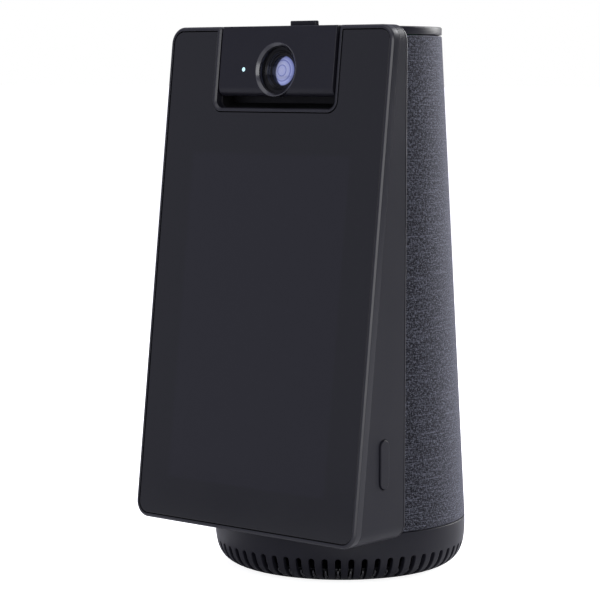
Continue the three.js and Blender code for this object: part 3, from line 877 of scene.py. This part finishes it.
@dataclass
class DisplayHead:
    """The upright head: bezel, cover glass and the housing with its camera bay."""

    at: HeadSizes
    lip: float = 2.0
    bezel_depth: float = 5.0
    chamfer: float = 1.0
    seat: float = 0.4
    seam: float = 0.12  # gap between bezel and housing
    bay_half: float = 40.4  # half width of the camera bay at the bezel
    bay_floor: float = 219.1  # measured up the face
    notch_half: float = 42.6  # half width of the dip in the glass
    notch_floor: float = 217.2
    bay_rise: float = 2.4  # the bay's floor is that much higher at its back
    wall: float = 2.4
    neckway: float = 32.0  # half width of the way for the camera's neck

    def outer_loop(self, half: float, floor: float, inset: float = 0.0) -> Outline:
        """The head's outline across and up, with the open-topped camera bay.

        Args:
            half: half width of the bay.
            floor: height of the bay's floor, above the table.
            inset: moves the whole outline in, as for the inside of a wall.

        Returns:
            The outline, drawn across and up from the table.
        """
        w, low, high = self.at.half_width - inset, self.at.bottom + inset, self.at.top - inset
        radii = (self.at.corner - inset, max(1.4 - inset, 0.2), 4.2 + inset)
        return notched(w, low, high, half + inset, floor - inset, radii)

    def glass_loop(self, by: float) -> Outline:
        """The glass's outline on the face, by more or less all round."""
        x, low, high = self.at.half_width - self.lip, self.lip, self.at.length - self.lip
        made = notched(x, low, high, self.notch_half, self.notch_floor, (6.5, 0.9, 6.0))
        return Outline(made.grown(by), made.normals)

    def height_of(self, up_face: float) -> float:
        """Height above the table of a place on the face."""
        return self.at.bottom + up_face * math.cos(self.at.lean)

    def behind_face(self, drawn: np.ndarray, depth: float) -> np.ndarray:
        """Points drawn across and up, set straight back from the face by depth."""
        y = self.at.face_y(drawn[:, 1]) + depth
        return np.stack([drawn[:, 0], y, drawn[:, 1]], 1)

    def bezel(self, dress: Material) -> Piece:
        """The bezel ring: a section of side wall, chamfer, lip and glass seat carried round.

        Each row of the section lies between the head's outline and the glass's: outline +
        (glass - outline) * inset / lip, set back by its depth.
        """
        outer = self.outer_loop(self.bay_half, self.height_of(self.bay_floor))
        inner = self.glass_loop(0.0)
        section = rounded_path(
            [
                (0, self.bezel_depth), (0, self.chamfer), (self.chamfer, 0), (self.lip, 0),
                (self.lip, self.seat),
            ],
            [0.45, 0.45, 0.18],
        )
        start = self.behind_face(outer.points, 0.0)
        end = self.at.face.place(inner.points, 0.0)
        rows = [
            start + (end - start) * (inset / self.lip) + np.array([0, depth, 0])
            for inset, depth in section
        ]
        rows += [self.at.face.place(inner.points, -depth) for depth in (2.6, self.bezel_depth)]
        rows.append(self.behind_face(outer.grown(-0.5), self.bezel_depth))
        draft = Draft()
        draft.patch(np.stack(rows), close_rows=True, close_columns=True)
        return draft.finish("bezel_ring", dress)

    def glass(self, dress: Material) -> Piece:
        """The cover glass, 2 mm thick, its front edge ground to a small round."""
        sheet = prism(self.glass_loop(-0.3), self.at.face, -2.4, -0.35, 0.0, 0.45)
        return sheet.finish("cover_glass_sheet", dress)

    def housing(self, dress: Material) -> Piece:
        """The housing: the outline carried straight back, with the bay's floor rising behind.

        Outside rows run from the bezel to the flat back, past a shallow groove that marks the
        rear frame and a rounded rear edge; inside rows run back again one wall in.
        """
        back = self.at.back
        inner_back = back - self.wall
        seam = self.bezel_depth + self.seam
        floor = self.height_of(self.bay_floor)

        def bay(k: float, inset: float = 0.0) -> Outline:
            """The outline with the bay k of the way from the bezel's shape to the deep one."""
            return self.outer_loop(self.bay_half - 0.5 * k, floor + self.bay_rise * k, inset)

        def upright(outline: Outline, inset: float, y: float) -> np.ndarray:
            """The outline, moved in by inset, at one depth."""
            drawn = outline.grown(-inset)
            return np.stack([drawn[:, 0], np.full(len(drawn), y), drawn[:, 1]], 1)

        def slope(k: float) -> np.ndarray:
            """The outline k of the way along the bay's slope, always in front of the back wall."""
            start = self.behind_face(bay(k).points, seam + 0.3)
            start[:, 1] += k * np.clip(inner_back - 0.3 - start[:, 1], 0.0, 6.5)
            return start

        edge = ((0.6, 0.0), (0.12, 0.0), (0.0, 0.12))
        rows = [self.behind_face(bay(0.0).grown(-inset), seam + depth) for inset, depth in edge]
        rows += [slope(k) for k in (0.0, 0.25, 0.5, 0.75, 1.0)]
        neck = self.outer_loop(self.neckway, self.at.pivot[2] - 1.5)
        rows += [upright(bay(1.0), 0.0, inner_back), upright(neck, 0.0, inner_back)]
        groove = ((0.0, back - 1.75), (0.3, back - 1.65), (0.3, back - 1.4), (0.0, back - 1.3))
        rows += [upright(neck, inset, y) for inset, y in groove]
        rows += [upright(neck, inset, y) for inset, y in edge_rows(back - 1.2, back, 0.0, 0.9)[1:]]
        inner = [
            upright(bay(1.0, self.wall), 0.0, inner_back),
            self.behind_face(bay(0.0, self.wall).points, seam),
        ]
        return Draft().loft([*inner, *rows]).finish("housing_shell", dress)

    def darken_bay_painted_shade(self, housing: Piece, dress: Material) -> None:
        """Gives the camera bay's floor and walls a darker pigment, painted shade for the recess.

        A face belongs to the bay if its centre lies between the bay's walls, above its floor,
        in front of the back wall and more than 0.7 mm behind the bezel.
        """
        faces = housing.data.polygons
        middle = np.zeros(len(faces) * 3)
        faces.foreach_get("center", middle)
        x, y, z = middle.reshape(-1, 3).T
        deep = (y - self.at.face_y(z) > self.bezel_depth + 0.7) & (y < self.at.back - 0.3)
        inside = (np.abs(x) < self.bay_half + 0.2) & (z > self.height_of(self.bay_floor) - 0.5)
        housing.data.materials.append(dress)
        faces.foreach_set("material_index", (deep & inside).astype(np.int32))


@dataclass
class SideButton:
    """The obround button that stands a little proud of the head's right side."""

    at: HeadSizes
    y: float = -57.0
    z: float = 68.7
    width: float = 6.6
    height: float = 24.8
    gap: float = 0.45
    proud: float = 0.9

    def outline(self, by: float) -> Outline:
        """The obround, grown by that much, seen from the side."""
        w, h = self.width / 2 + by, self.height / 2 + by
        return Outline.box(self.y - w, self.z - h, self.y + w, self.z + h, w - 0.01, 12)

    def cap(self, dress: Material) -> Piece:
        """The button, with a softly rounded face."""
        face = self.at.half_width + self.proud
        made = prism(self.outline(0.0), SIDE_ON, face - 4.2, face, 0.0, 0.35)
        return made.finish("button_cap", dress)

    def cut_slot(self, housing: Piece) -> None:
        """Cuts the slot that the button moves in."""
        face = self.at.half_width
        slot = prism(self.outline(self.gap), SIDE_ON, face - 9, face + 9)
        combine(housing, slot, How.CUT)


@dataclass
class CameraHead:
    """The camera block that tilts in the bay: two shells, rim, barrel, lens, light and tab."""

    at: HeadSizes
    half_width: float = 39.0
    neck_half: float = 30.0
    rim: float = 14.0
    split_depth: float = 4.2
    lamp: tuple[float, float, float] = (-22.3, 239.1, 1.1)  # across and up the face, radius
    tab: tuple[float, float, float] = (18.3, 3.7, 3.0)  # wide, thick, high
    tab_y: float = -30.0
    drop: float = 13.0  # from the pivot down to the block's underside
    seat: float = 10.6  # radius of the barrel's seat in the rear shell

    def block(self, dress: Material) -> Piece:
        """The whole block before it is split: side view carried across, and the neck behind.

        The side view's front lies on the display's face; its lower edges are 4.5 mm rounds.
        """
        _, y, z = self.at.pivot
        top, low = self.at.top, z - self.drop
        corners = [
            (self.at.face_y(low), low), (y + 0.3, low), (y + 3.2, z), (y + 0.2, top),
            (self.at.face_y(top), top),
        ]
        side = Outline.rounded(corners, [4.5, 4.5, 3.0, 0.8, 0.8])
        whole = prism(side, SIDE_ON, -self.half_width, self.half_width, 0.5, 0.5)
        neck = Outline.box(y - 3.0, z + 6.5, y + 18.5, top - 0.01, 0.9)
        made = whole.finish("camera_block", dress)
        behind = prism(neck, SIDE_ON, -self.neck_half, self.neck_half, 0.6, 0.6)
        combine(made, behind, How.ADD)
        return made

    def on_axis(
        self, profile: Sequence[Sequence[float]], radius: Sequence[float] | float
    ) -> Draft:
        """A closed profile of radius and height turned about the lens's axis, corners rounded."""
        path = rounded_path([profile[-1], *profile, profile[0]], radius)[1:-1]
        return lathe(path, self.at.face, (0.0, self.at.lens_up), 120)

    def shells(self, dress: Material) -> list[Piece]:
        """Front and rear shell, split behind the face, with seats for the lens and the light."""
        face = self.at.face
        out, origin = Vector(face.out), Vector(face.origin)
        made = []
        for name, depth, keep, bore in (
            ("camera_face_shell", self.split_depth, out, self.rim - 0.02),
            ("camera_back_shell", self.split_depth + 0.15, -out, self.seat),
        ):
            piece = self.block(dress)
            piece.name = name
            split(piece, origin - out * depth, keep)
            seat = prism(Outline.circle(0, self.at.lens_up, bore, 120), face, -6.9, 5.0)
            combine(piece, seat, How.CUT)
            made.append(piece)
        x, s, r = self.lamp
        combine(made[0], prism(Outline.circle(x, s, r + 0.1, 32), face, -5.0, 3.0), How.CUT)
        return made

    def rim_ring(self, dress: Material) -> Piece:
        """The lens rim: a narrow top and a cone down towards the lens."""
        profile = [
            (self.rim, -3.9), (self.rim, 0.05), (self.rim - 0.35, 0.22), (12.3, -1.15),
            (12.15, -1.5), (12.15, -3.9),
        ]
        made = self.on_axis(profile, [0.05, 0.12, 0.2, 0.25, 0.1, 0.05])
        return made.finish("lens_rim_ring", dress)

    def barrel(self, dress: Material) -> Piece:
        """The barrel: a dark sleeve inside the rim, a raised lip, then steps down to the lens."""
        profile = [
            (10.05, -6.8), (10.05, -3.95), (12.1, -3.95), (12.1, -1.45), (11.7, -1.45),
            (11.6, -3.5), (10.4, -3.6), (10.15, -4.0), (9.95, -3.8), (9.65, -3.8), (9.35, -4.1),
            (9.2, -4.9), (8.8, -5.1), (8.6, -5.9), (7.8, -6.1), (7.75, -6.8),
        ]
        return self.on_axis(profile, 0.1).finish("lens_barrel_steps", dress)

    def lens(self, dress: Material) -> Piece:
        """The front lens: a shallow dome, height = edge + rise * (1 - (r / R)^2)."""
        edge, rise, radius, back = -6.05, 1.25, 7.65, -6.7
        r = np.linspace(radius, 0.0, 15)
        dome = np.stack([r, edge + rise * (1 - (r / radius) ** 2)], 1)
        profile = np.vstack([[(0.0, back), (radius, back)], dome])
        return lathe(profile, self.at.face, (0.0, self.at.lens_up)).finish("front_lens", dress)

    def light(self, dress: Material) -> Piece:
        """The status light, a small pipe that ends flush with the face."""
        x, s, r = self.lamp
        pipe = prism(Outline.circle(x, s, r, 32), self.at.face, -3.4, -0.05, 0.0, 0.2)
        return pipe.finish("status_light", dress)

    def thumb_tab(self, dress: Material) -> Piece:
        """The thumb tab: an obround fin on the block's top, on a narrow root."""
        wide, thick, high = self.tab
        top, y, half = self.at.top, self.tab_y, thick / 2
        fin = Outline.box(-wide / 2, y - half, wide / 2, y + half, half - 0.01)
        made = prism(fin, FROM_ABOVE, top + 0.25, top + high, 0.2, 0.6).finish("thumb_tab", dress)
        root = prism(Outline.box(-4, y - 1.2, 4, y + 1.2, 0.5), FROM_ABOVE, top - 1.1, top + 1)
        combine(made, root, How.ADD)
        return made


# ---------------------------------------------------------------- the round body


@dataclass
class BodySizes:
    """Sizes of the round, tapered body, which the head's flat back cuts."""

    ring: float = 67.2
    taper: float = 0.0553
    low: float = 28.2
    high: float = 283.4
    cap_low: float = 283.9
    top: float = 288.0
    front: float = -39.0  # y where the body stops behind the head
    bay: float = 32.0  # half width of the camera's bay in the top cap
    bay_back: float = -21.5

    def radius(self, z: Any) -> Any:
        """Radius at a height: ring - taper * (z - low)."""
        return self.ring - self.taper * (z - self.low)


@dataclass
class RoundBody:
    """Cloth sleeve and top cap."""

    at: BodySizes
    columns: int = 300
    rows: int = 150
    roll: float = 0.9
    margin: float = 1.6  # width of the finer border round the cloth
    thick: float = 0.7

    def sleeve(self, dress: Material) -> Piece:
        """The cloth: a cone from one edge of the head's back round to the other, edges rolled in.

        A point is radius(z) * (cos t, sin t) with t between the two angles where the cone meets
        the back, y = front. Within a roll's width of an edge the radius drops by
        roll - sqrt(roll^2 - (roll - distance)^2), a quarter round.
        """
        b = self.at
        near = np.array([0.0, 0.05, 0.15, 0.3, 0.5, 0.75, 1.0]) * self.roll
        middle = np.linspace(b.low + self.margin, b.high - self.margin, self.rows)
        z = np.concatenate([b.low + near, middle, b.high - near[::-1]])[:, None]
        radius = b.radius(z)
        start = np.arcsin(b.front / radius)
        length = radius * (np.pi - 2 * start)
        share = np.linspace(0, 1, self.columns)
        across = self.margin + share * (length - 2 * self.margin)
        along = np.hstack([near + 0 * z, across, length - near[::-1]])
        side = np.minimum(along, length - along)
        ends = np.minimum(z - b.low, b.high - z)
        drop = sum(
            self.roll - np.sqrt(self.roll**2 - np.clip(self.roll - to_edge, 0, self.roll) ** 2)
            for to_edge in (side, ends)
        )
        draft = Draft()
        draft.patch(ring_of(radius - np.minimum(drop, self.roll), start + along / radius, z))
        flat = np.broadcast_arrays(along - length / 2, z)
        draft.uv = np.stack(flat, -1).reshape(-1, 2) * MM
        made = draft.finish("sleeve_cloth", dress, weld=False)
        body = made.modifiers.new("thickness", "SOLIDIFY")
        body.thickness, body.offset = self.thick * MM, -1.0
        return made

    def flat_size(self) -> tuple[float, float, float]:
        """The cut cloth's greatest width, its length and its area, in metres."""
        b = self.at
        z = np.linspace(b.low, b.high, 400)
        width = b.radius(z) * (np.pi - 2 * np.arcsin(b.front / b.radius(z)))
        slant = (b.high - b.low) * math.sqrt(1 + b.taper**2)
        return width.max() * MM, slant * MM, float(width.mean() * slant) * MM * MM

    def cap(self, dress: Material) -> Piece:
        """The top cap: a disc cut by the head's back, with a bay for the camera's neck."""
        b = self.at
        r = b.radius(b.cap_low)
        edge = math.asin(b.front / r)
        turn = np.linspace(edge, math.pi - edge, 120)
        arc = ring_of(r, turn, 0.0)[:, :2].tolist()
        bay = [(-b.bay, b.front), (-b.bay, b.bay_back), (b.bay, b.bay_back), (b.bay, b.front)]
        outline = Outline.rounded([*arc, *bay], [0.0] * len(arc) + [1.2, 2.0, 2.0, 1.2], 6)
        made = prism(outline, FROM_ABOVE, b.cap_low, b.top, 0.3, 0.8).finish("cap_plate", dress)
        for x, y, _ in ring_of(MIC_REACH, np.array([1, 3]) * math.pi / 4, 0.0).tolist():
            hole = prism(Outline.circle(x, y, MIC_HOLE, 16), FROM_ABOVE, b.top - 2.5, b.top + 1)
            combine(made, hole, How.CUT)
        return made


# ---------------------------------------------------------------- the base


def loop(up: np.ndarray, across: np.ndarray, over: np.ndarray, under: np.ndarray) -> np.ndarray:
    """A closed line of two upright sides, joined by a top and a bottom that mirror each other.

    Args:
        up: heights up the right side, and down the left one.
        across: places from right to left along the top, and back along the bottom.
        over: heights along the top.
        under: heights along the bottom.

    Returns:
        Points (n, 2), each corner once.
    """
    right, left = np.full(len(up), across[0]), np.full(len(up), across[-1])
    sides = [(right, up), (across, over), (left, up[::-1]), (-across, under)]
    return np.vstack([np.stack(side, 1)[:-1] for side in sides])


@dataclass
class BaseRing:
    """The base ring, sixty slots round its turned-in foot, and what shows through them."""

    at: BodySizes
    slots: int = 60
    slot_half: float = 1.5
    slot_low: float = 2.4
    slot_high: float = 15.2
    top: float = 27.9
    wall: float = 2.8
    jack_z: float = 20.1
    shoulder: float = 22.5  # height where the straight wall ends
    foot_in: float = 44.0  # inner radius of the turned-in foot
    foot_up: float = 0.9
    path: np.ndarray = field(default_factory=lambda: np.zeros((0, 2)))

    def __post_init__(self) -> None:
        """Works out the section: rounded top edge, straight wall, then a curve in to the foot."""
        r, wall_end = self.at.ring, (self.at.ring, self.shoulder)
        edge = rounded_path([(r - 2.6, self.top), (r, self.top), wall_end], 0.45, 5)
        foot = bezier([wall_end, (r - 0.2, 7.8), (62.8, 1.9), (46, self.foot_up)], 60)
        self.path = np.vstack([edge, foot[1:], [(self.foot_in, self.foot_up)]])

    @property
    def run(self) -> np.ndarray:
        """Length along the section at each of its points."""
        steps = np.linalg.norm(np.diff(self.path, axis=0), axis=1)
        return np.concatenate([[0], np.cumsum(steps)])

    def section(self, along: np.ndarray, depth: Any) -> tuple[np.ndarray, np.ndarray]:
        """Radius and height at a run along the section, that deep under its surface."""
        run, near = self.run, 0.15
        behind, here, ahead = (
            np.stack([np.interp(along + step, run, self.path[:, i]) for i in (0, 1)])
            for step in (-near, 0.0, near)
        )
        dr, dz = (ahead - behind) / np.hypot(*(ahead - behind))
        return here[0] + depth * dz, here[1] - depth * dr

    def at_height(self, z: float) -> float:
        """Run along the section where its curve passes that height."""
        return float(np.interp(z, self.path[::-1, 1], self.run[::-1]))

    @property
    def turns(self) -> np.ndarray:
        """Angle of each slot's middle."""
        return (np.arange(self.slots) * 2 + 1) * math.pi / self.slots

    def spread(self, drawn: np.ndarray, depth: float) -> np.ndarray:
        """Points drawn across a slot and along the section, repeated round the ring.

        With r, z from the section, each lies at radius r, angle t + asin(across / r) and height
        z, for each slot's angle t.
        """
        r, z = self.section(drawn[:, 1], depth)
        return ring_of(r, self.turns[:, None] + np.arcsin(drawn[:, 0] / r), z)

    def sector(self, frame: np.ndarray, depth: float) -> np.ndarray:
        """A sector's border, given from -1 to 1 across, drawn at its true width at that depth."""
        r, _ = self.section(frame[:, 1], depth)
        return np.stack([frame[:, 0] * r * math.sin(math.pi / self.slots), frame[:, 1]], 1)

    def ring(self, dress: Material) -> Piece:
        """The ring, a closed shell.

        Round each slot a grid of rows runs from the sector's straight edges to the slot's
        outline, over a rounded lip and down the slot's wall to the inner face.
        """
        tops, sides = 8, 10
        low, high = self.at_height(self.slot_low), self.at_height(self.slot_high)
        h, short = self.slot_half, 0.5
        arc = np.linspace(0, np.pi, tops + 1)
        slot = loop(
            np.linspace(low - short, high + h, sides + 1), np.cos(arc) * h,
            high + h * (1 - np.sin(arc)), low - short * (1 - np.sin(arc)),
        )
        tangent = np.roll(slot, -1, 0) - np.roll(slot, 1, 0)
        outward = np.stack([-tangent[:, 1], tangent[:, 0]], 1)
        outward /= np.linalg.norm(outward, axis=1)[:, None]
        top_run, low_run = self.at_height(self.slot_high + 2.2), self.at_height(1.45)
        level = np.zeros(tops + 1)
        frame = loop(
            np.linspace(low_run, top_run, sides + 1), np.linspace(1, -1, tops + 1),
            level + top_run, level + low_run,
        )
        lip = [(0.34, 0.0), (0.17, 0.045), (0.05, 0.15), (0.0, 0.34)]
        outer, inner = self.sector(frame, 0.0), self.sector(frame, self.wall)
        first = slot + lip[0][0] * outward
        rows = [self.spread(outer + (first - outer) * k, 0.0) for k in (0.0, 0.18, 0.45, 0.72)]
        rows += [self.spread(slot + inset * outward, depth) for inset, depth in lip]
        rows += [self.spread(inner + (slot - inner) * k, self.wall) for k in (1.0, 0.5, 0.0)]
        draft = Draft()
        for sector in np.stack(rows, 1):
            draft.patch(sector, close_columns=True)
        over = np.arange(self.slots * tops) * 2 * math.pi / (self.slots * tops)

        def hoop(runs: np.ndarray, depth: float) -> np.ndarray:
            """Full turns of the section at those runs and that depth."""
            r, z = self.section(runs, depth)
            return ring_of(r[:, None], over, z[:, None])

        shoulder = np.append(self.run[self.run < top_run - 0.3], top_run)
        foot = np.append(low_run, self.run[self.run > low_run + 0.3])
        inside = shoulder[shoulder > self.at_height(24.0)]
        top = [hoop(shoulder, 0.0)[::-1], hoop(inside, self.wall)]
        rim = ring_of(self.foot_in, over, self.foot_up + self.wall)[None]
        turned_in = [hoop(foot, 0.0), rim, hoop(foot[:-1], self.wall)[::-1]]
        for band in (top, turned_in):
            draft.patch(np.concatenate(band), close_columns=True)
        made = draft.finish("slotted_ring", dress)
        bore = prism(Outline.circle(0.0, self.jack_z, 4.2, 40), FROM_BEHIND, 55.0, 75.0)
        combine(made, bore, How.CUT)
        return made

    def deflector(self, dress: Material) -> Piece:
        """The sound deflector: a dished cone with one tapered blade standing in each slot."""
        profile = rounded_path(
            [(0, 6.4), (56, 6.4), (56, 8.4), (47, 10.2), (32, 14.8), (14, 20.8), (0, 22.6)],
            [0.3, 0.6, 4.0, 8.0, 5.0],
        )
        draft = lathe(profile, count=120)
        blade_section = [  # radius, height, half thickness
            (55.4, 8.6, 0.3), (61.9, 8.2, 0.28), (62.0, 7.0, 0.45), (59.6, 5.1, 0.7),
            (57.0, 3.9, 0.9), (55.4, 3.6, 0.95),
        ]
        r, z, half = np.array(blade_section).T
        side = np.array([[1.0], [-1.0]])
        for blade in ring_of(r, self.turns[:, None, None] + side * np.arcsin(half / r), z):
            index = draft.patch(blade, close_columns=True)
            draft.lid(index[0], flip=True)
            draft.lid(index[1])
        return draft.finish("deflector_cone", dress)

    def foot(self, dress: Material) -> Piece:
        """The rubber foot: a disc with a rounded lower edge."""
        profile = rounded_path([(0, 0), (43, 0), (43, 1.4), (0, 1.4)], [0.5, 0.3])
        return lathe(profile).finish("rubber_foot", dress)

    def jack(self, dress: Material) -> Piece:
        """The power inlet's collar: a round mouth with a chamfer, and its blind bore."""
        profile = rounded_path(
            [(0, 53.0), (3.2, 53.0), (3.2, 66.3), (3.5, 66.8), (3.9, 66.8), (3.9, 50.0), (0, 50.0)],
            [0.05, 0.05, 0.05, 0.1, 0.05],
        )
        return lathe(profile, FROM_BEHIND, (0.0, self.jack_z), 64).finish("inlet_collar", dress)


# ---------------------------------------------------------------- dressing and studio


@dataclass(frozen=True)
class Dressing:
    """Every finish that the speaker wears."""

    shell: Moulded = Moulded("textured ABS, moulded", "#19191F", specular=0.27)
    bezel: Moulded = Moulded("satin ABS, moulded bezel", "#17171C", 0.31, 0.6, 0.004, 0.04)
    black: Moulded = Moulded("plain black ABS, moulded", "#0C0C0E", 0.35)
    # darker pigment on the camera bay's faces: painted shade in the recess
    trap: Moulded = Moulded("matt black ABS, light trap", "#09090A", 0.5, specular=0.25)
    rim: Moulded = Moulded("gloss ABS, moulded lens rim", "#202025", 0.2, 0.6, 0.003, 0.03, 0.8)
    turned: Moulded = Moulded(
        "black anodised aluminium, turned", "#050506", 0.22, 0.5, 0.003, 0.03, 0.22
    )
    rubber: Moulded = Moulded("black silicone rubber, moulded", "#0B0B0B", 0.8, 0.6, 0.02)
    paper: Moulded = Moulded("pressed paper pulp", "#232325", 0.9, 0.8, 0.05)
    ribbon: Moulded = Moulded("polyimide film ribbon", "#7A4A1C", 0.35, 1.2, 0.002)
    glass: CoverGlass = CoverGlass()
    cloth: MelangeCloth = MelangeCloth()
    steel: Metal = Metal("zinc-plated steel, pressed", "#B9BCC0")
    alloy: Metal = Metal("extruded aluminium", "#A9ACB2", 0.35)
    painted: Metal = Metal("black painted steel", "#1C1C1F", 0.45, 0.0)
    mask: SolderMask = SolderMask()
    lamp: LitPipe = LitPipe()


HIDDEN_NODES: dict[str, tuple[str, ...]] = {
    "steel": (
        "panel_carrier",
        *(f"{place}_screw_{i}" for place in ("carrier", "flange", "base") for i in range(1, 5)),
    ),
    "black": ("display_panel", "button_bracket", "grille_frame", "speaker_enclosure", "base_plate"),
    "mask": ("main_board", "camera_board", "button_board", "mic_board"),
    "alloy": ("heat_sink",),
    "ribbon": ("camera_flex",),
    "painted": ("woofer_basket", "woofer_magnet", "pivot_pin_left", "pivot_pin_right"),
    "paper": ("woofer_cone", "woofer_dust_cap"),
    "rubber": ("woofer_surround",),
}


@dataclass
class Studio:
    """Pale floor, white surroundings, soft lights and the camera."""

    eye: tuple[float, float, float] = (809.86, -970.93, 260.73)
    yaw: float = math.radians(40.82)
    pitch: float = math.radians(5.329)
    roll: float = math.radians(0.095)
    lens: float = 142.1
    sensor: float = 36.0
    floor_half: float = 60000.0
    middle: float = 0.15  # metres up to the point that the lights face

    def camera(self) -> None:
        """The camera, by its place and its three turns."""
        data = bpy.data.cameras.new("camera")
        data.lens, data.sensor_width = self.lens, self.sensor
        data.clip_start, data.clip_end = 0.01, 100.0
        seen = bpy.data.objects.new("camera", data)
        seen.matrix_world = (
            Matrix.Translation(Vector(self.eye) * MM)
            @ Matrix.Rotation(self.yaw, 4, "Z")
            @ Matrix.Rotation(math.pi / 2 - self.pitch, 4, "X")
            @ Matrix.Rotation(self.roll, 4, "Z")
        )
        bpy.context.scene.collection.objects.link(seen)
        bpy.context.scene.camera = seen

    def softbox(
        self, name: str, azimuth: float, rise: float, away: float, size: tuple[float, float],
        power: float,
    ) -> None:
        """A soft rectangular light that faces the object.

        Args:
            name: of the light.
            azimuth: degrees round from the front, towards +X.
            rise: degrees above the table.
            away: metres from the object's middle.
            size: metres across and up.
            power: watts.
        """
        data = bpy.data.lights.new(name, "AREA")
        data.shape, data.size, data.size_y, data.energy = "RECTANGLE", size[0], size[1], power
        a, e = math.radians(azimuth), math.radians(rise)
        back = Vector((math.sin(a) * math.cos(e), -math.cos(a) * math.cos(e), math.sin(e)))
        lamp = bpy.data.objects.new(name, data)
        lamp.location = Vector((0, 0, self.middle)) + back * away
        lamp.rotation_mode = "QUATERNION"
        lamp.rotation_quaternion = (-back).to_track_quat("-Z", "Y")
        bpy.context.scene.collection.objects.link(lamp)

    def surroundings(self) -> None:
        """White where the camera looks past the object, softer as a source of light.

        The light's level rises from dark sides to a bright front and ceiling, with the larger
        of the direction's forward and upward parts.
        """
        world = bpy.data.worlds.new("studio")
        world.use_nodes = True
        tree = world.node_tree
        tree.nodes.clear()
        direction = add(tree, "ShaderNodeTexCoord", {}).outputs["Generated"]
        toward = add(tree, "ShaderNodeSeparateXYZ", {"Vector": direction}).outputs
        open_side = maths(tree, "MAXIMUM", maths(tree, "MULTIPLY", toward["Y"], -1.0), toward["Z"])
        level = remap(tree, open_side, (0.2, 0.65), (0.16, 0.6))
        skies = ({"Color": linear("#E7E7FF"), "Strength": level}, {"Color": linear("#FFFFFF")})
        fill, white = (add(tree, "ShaderNodeBackground", sky).outputs[0] for sky in skies)
        seen = add(tree, "ShaderNodeLightPath", {}).outputs["Is Camera Ray"]
        both = add(tree, "ShaderNodeMixShader", {0: seen, 1: fill, 2: white}).outputs[0]
        add(tree, "ShaderNodeOutputWorld", {"Surface": both})
        bpy.context.scene.world = world

    def floor(self) -> None:
        """The floor, a wide pale sheet just under the rubber foot."""
        side = np.linspace(-self.floor_half, self.floor_half, 9)
        grid = np.stack(np.meshgrid(side, side), -1)
        draft = Draft()
        draft.patch(FROM_ABOVE.place(grid, -0.02))
        sheet = draft.finish("studio_floor", Stage().material(), weld=False)
        sheet.data.transform(Matrix.Scale(MM, 4))

    def build(self) -> None:
        """Everything in the studio."""
        self.camera()
        self.surroundings()
        self.floor()
        self.softbox("key", 50.0, 10.0, 1.8, (0.9, 1.4), 11.0)
        self.softbox("rim", 172.0, 23.0, 1.7, (0.7, 1.1), 24.0)
        self.softbox("top", 5.0, 62.0, 2.0, (1.6, 1.6), 6.0)
        bpy.context.scene.view_settings.view_transform = "Standard"


def place(piece: Piece, body: str, slot: str, *nodes: str) -> None:
    """Turns a piece to metres and puts it on its body, in place of CAD nodes.

    Args:
        piece: the object.
        body: that it moves with.
        slot: the record's material slot; not used.
        nodes: that it stands for.
    """
    piece.data.transform(Matrix.Scale(MM, 4))
    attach(piece, body)
    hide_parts(*nodes)
    LOG.info("%s rides on %s, for %s", piece.name, body, ", ".join(nodes))


def main() -> None:
    """Builds the speaker's pieces in order, dresses the nodes that stay, and sets the studio."""
    logging.basicConfig(level=logging.INFO, format="%(message)s")
    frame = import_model()
    Studio().build()
    wear = {name: finish.material() for name, finish in vars(Dressing()).items()}

    head_at = HeadSizes()
    head = DisplayHead(head_at)
    place(head.bezel(wear["bezel"]), SPEAKER, "bezel_plastic", "display_bezel")
    place(head.glass(wear["glass"]), SPEAKER, "black_glass", "cover_glass")
    housing = head.housing(wear["shell"])
    button = SideButton(head_at)
    button.cut_slot(housing)
    # darker pigment on the bay's faces paints its shade
    head.darken_bay_painted_shade(housing, wear["trap"])
    place(housing, SPEAKER, "shell_plastic", "front_housing")
    place(button.cap(wear["shell"]), BUTTON_BODY, "shell_plastic", "side_button")

    camera = CameraHead(head_at)
    face_shell, back_shell = camera.shells(wear["shell"])
    place(face_shell, CAMERA_HEAD, "shell_plastic", "camera_front_shell")
    place(back_shell, CAMERA_HEAD, "shell_plastic", "camera_rear_shell")
    place(camera.rim_ring(wear["rim"]), CAMERA_HEAD, "bezel_plastic", "lens_rim")
    place(camera.barrel(wear["turned"]), CAMERA_HEAD, "black_plastic", "lens_barrel")
    centre = head_at.face.place(np.array([0.0, head_at.lens_up]), -5.0)
    # the lens's colour is a painted reflection
    lens_reflection = LensPaintedReflection(centre=tuple(centre.tolist())).material()
    place(camera.lens(lens_reflection), CAMERA_HEAD, "lens_glass", "lens_glass")
    place(camera.light(wear["lamp"]), CAMERA_HEAD, "led_diffuser", "led_window")
    place(camera.thumb_tab(wear["shell"]), CAMERA_HEAD, "shell_plastic", "tilt_tab")

    body = RoundBody(BodySizes())
    cloth = body.sleeve(wear["cloth"])
    place(cloth, SPEAKER, "cloth", "cloth_sleeve")
    width, length, area = body.flat_size()
    LOG.info("cloth %.4f x %.4f m, %.5f square metres", width, length, area)
    place(body.cap(wear["shell"]), SPEAKER, "shell_plastic", "top_cap")

    base = BaseRing(body.at)
    place(base.ring(wear["shell"]), SPEAKER, "shell_plastic", "base_ring")
    place(base.deflector(wear["bezel"]), SPEAKER, "shell_plastic", "sound_deflector")
    place(base.foot(wear["rubber"]), SPEAKER, "rubber", "foot_pad")
    place(base.jack(wear["black"]), SPEAKER, "black_plastic", "power_jack")

    for finish, nodes in HIDDEN_NODES.items():
        for node in nodes:
            materials = frame["nodes"][node].data.materials
            materials.clear()
            materials.append(wear[finish])


if __name__ == "__main__":
    main()
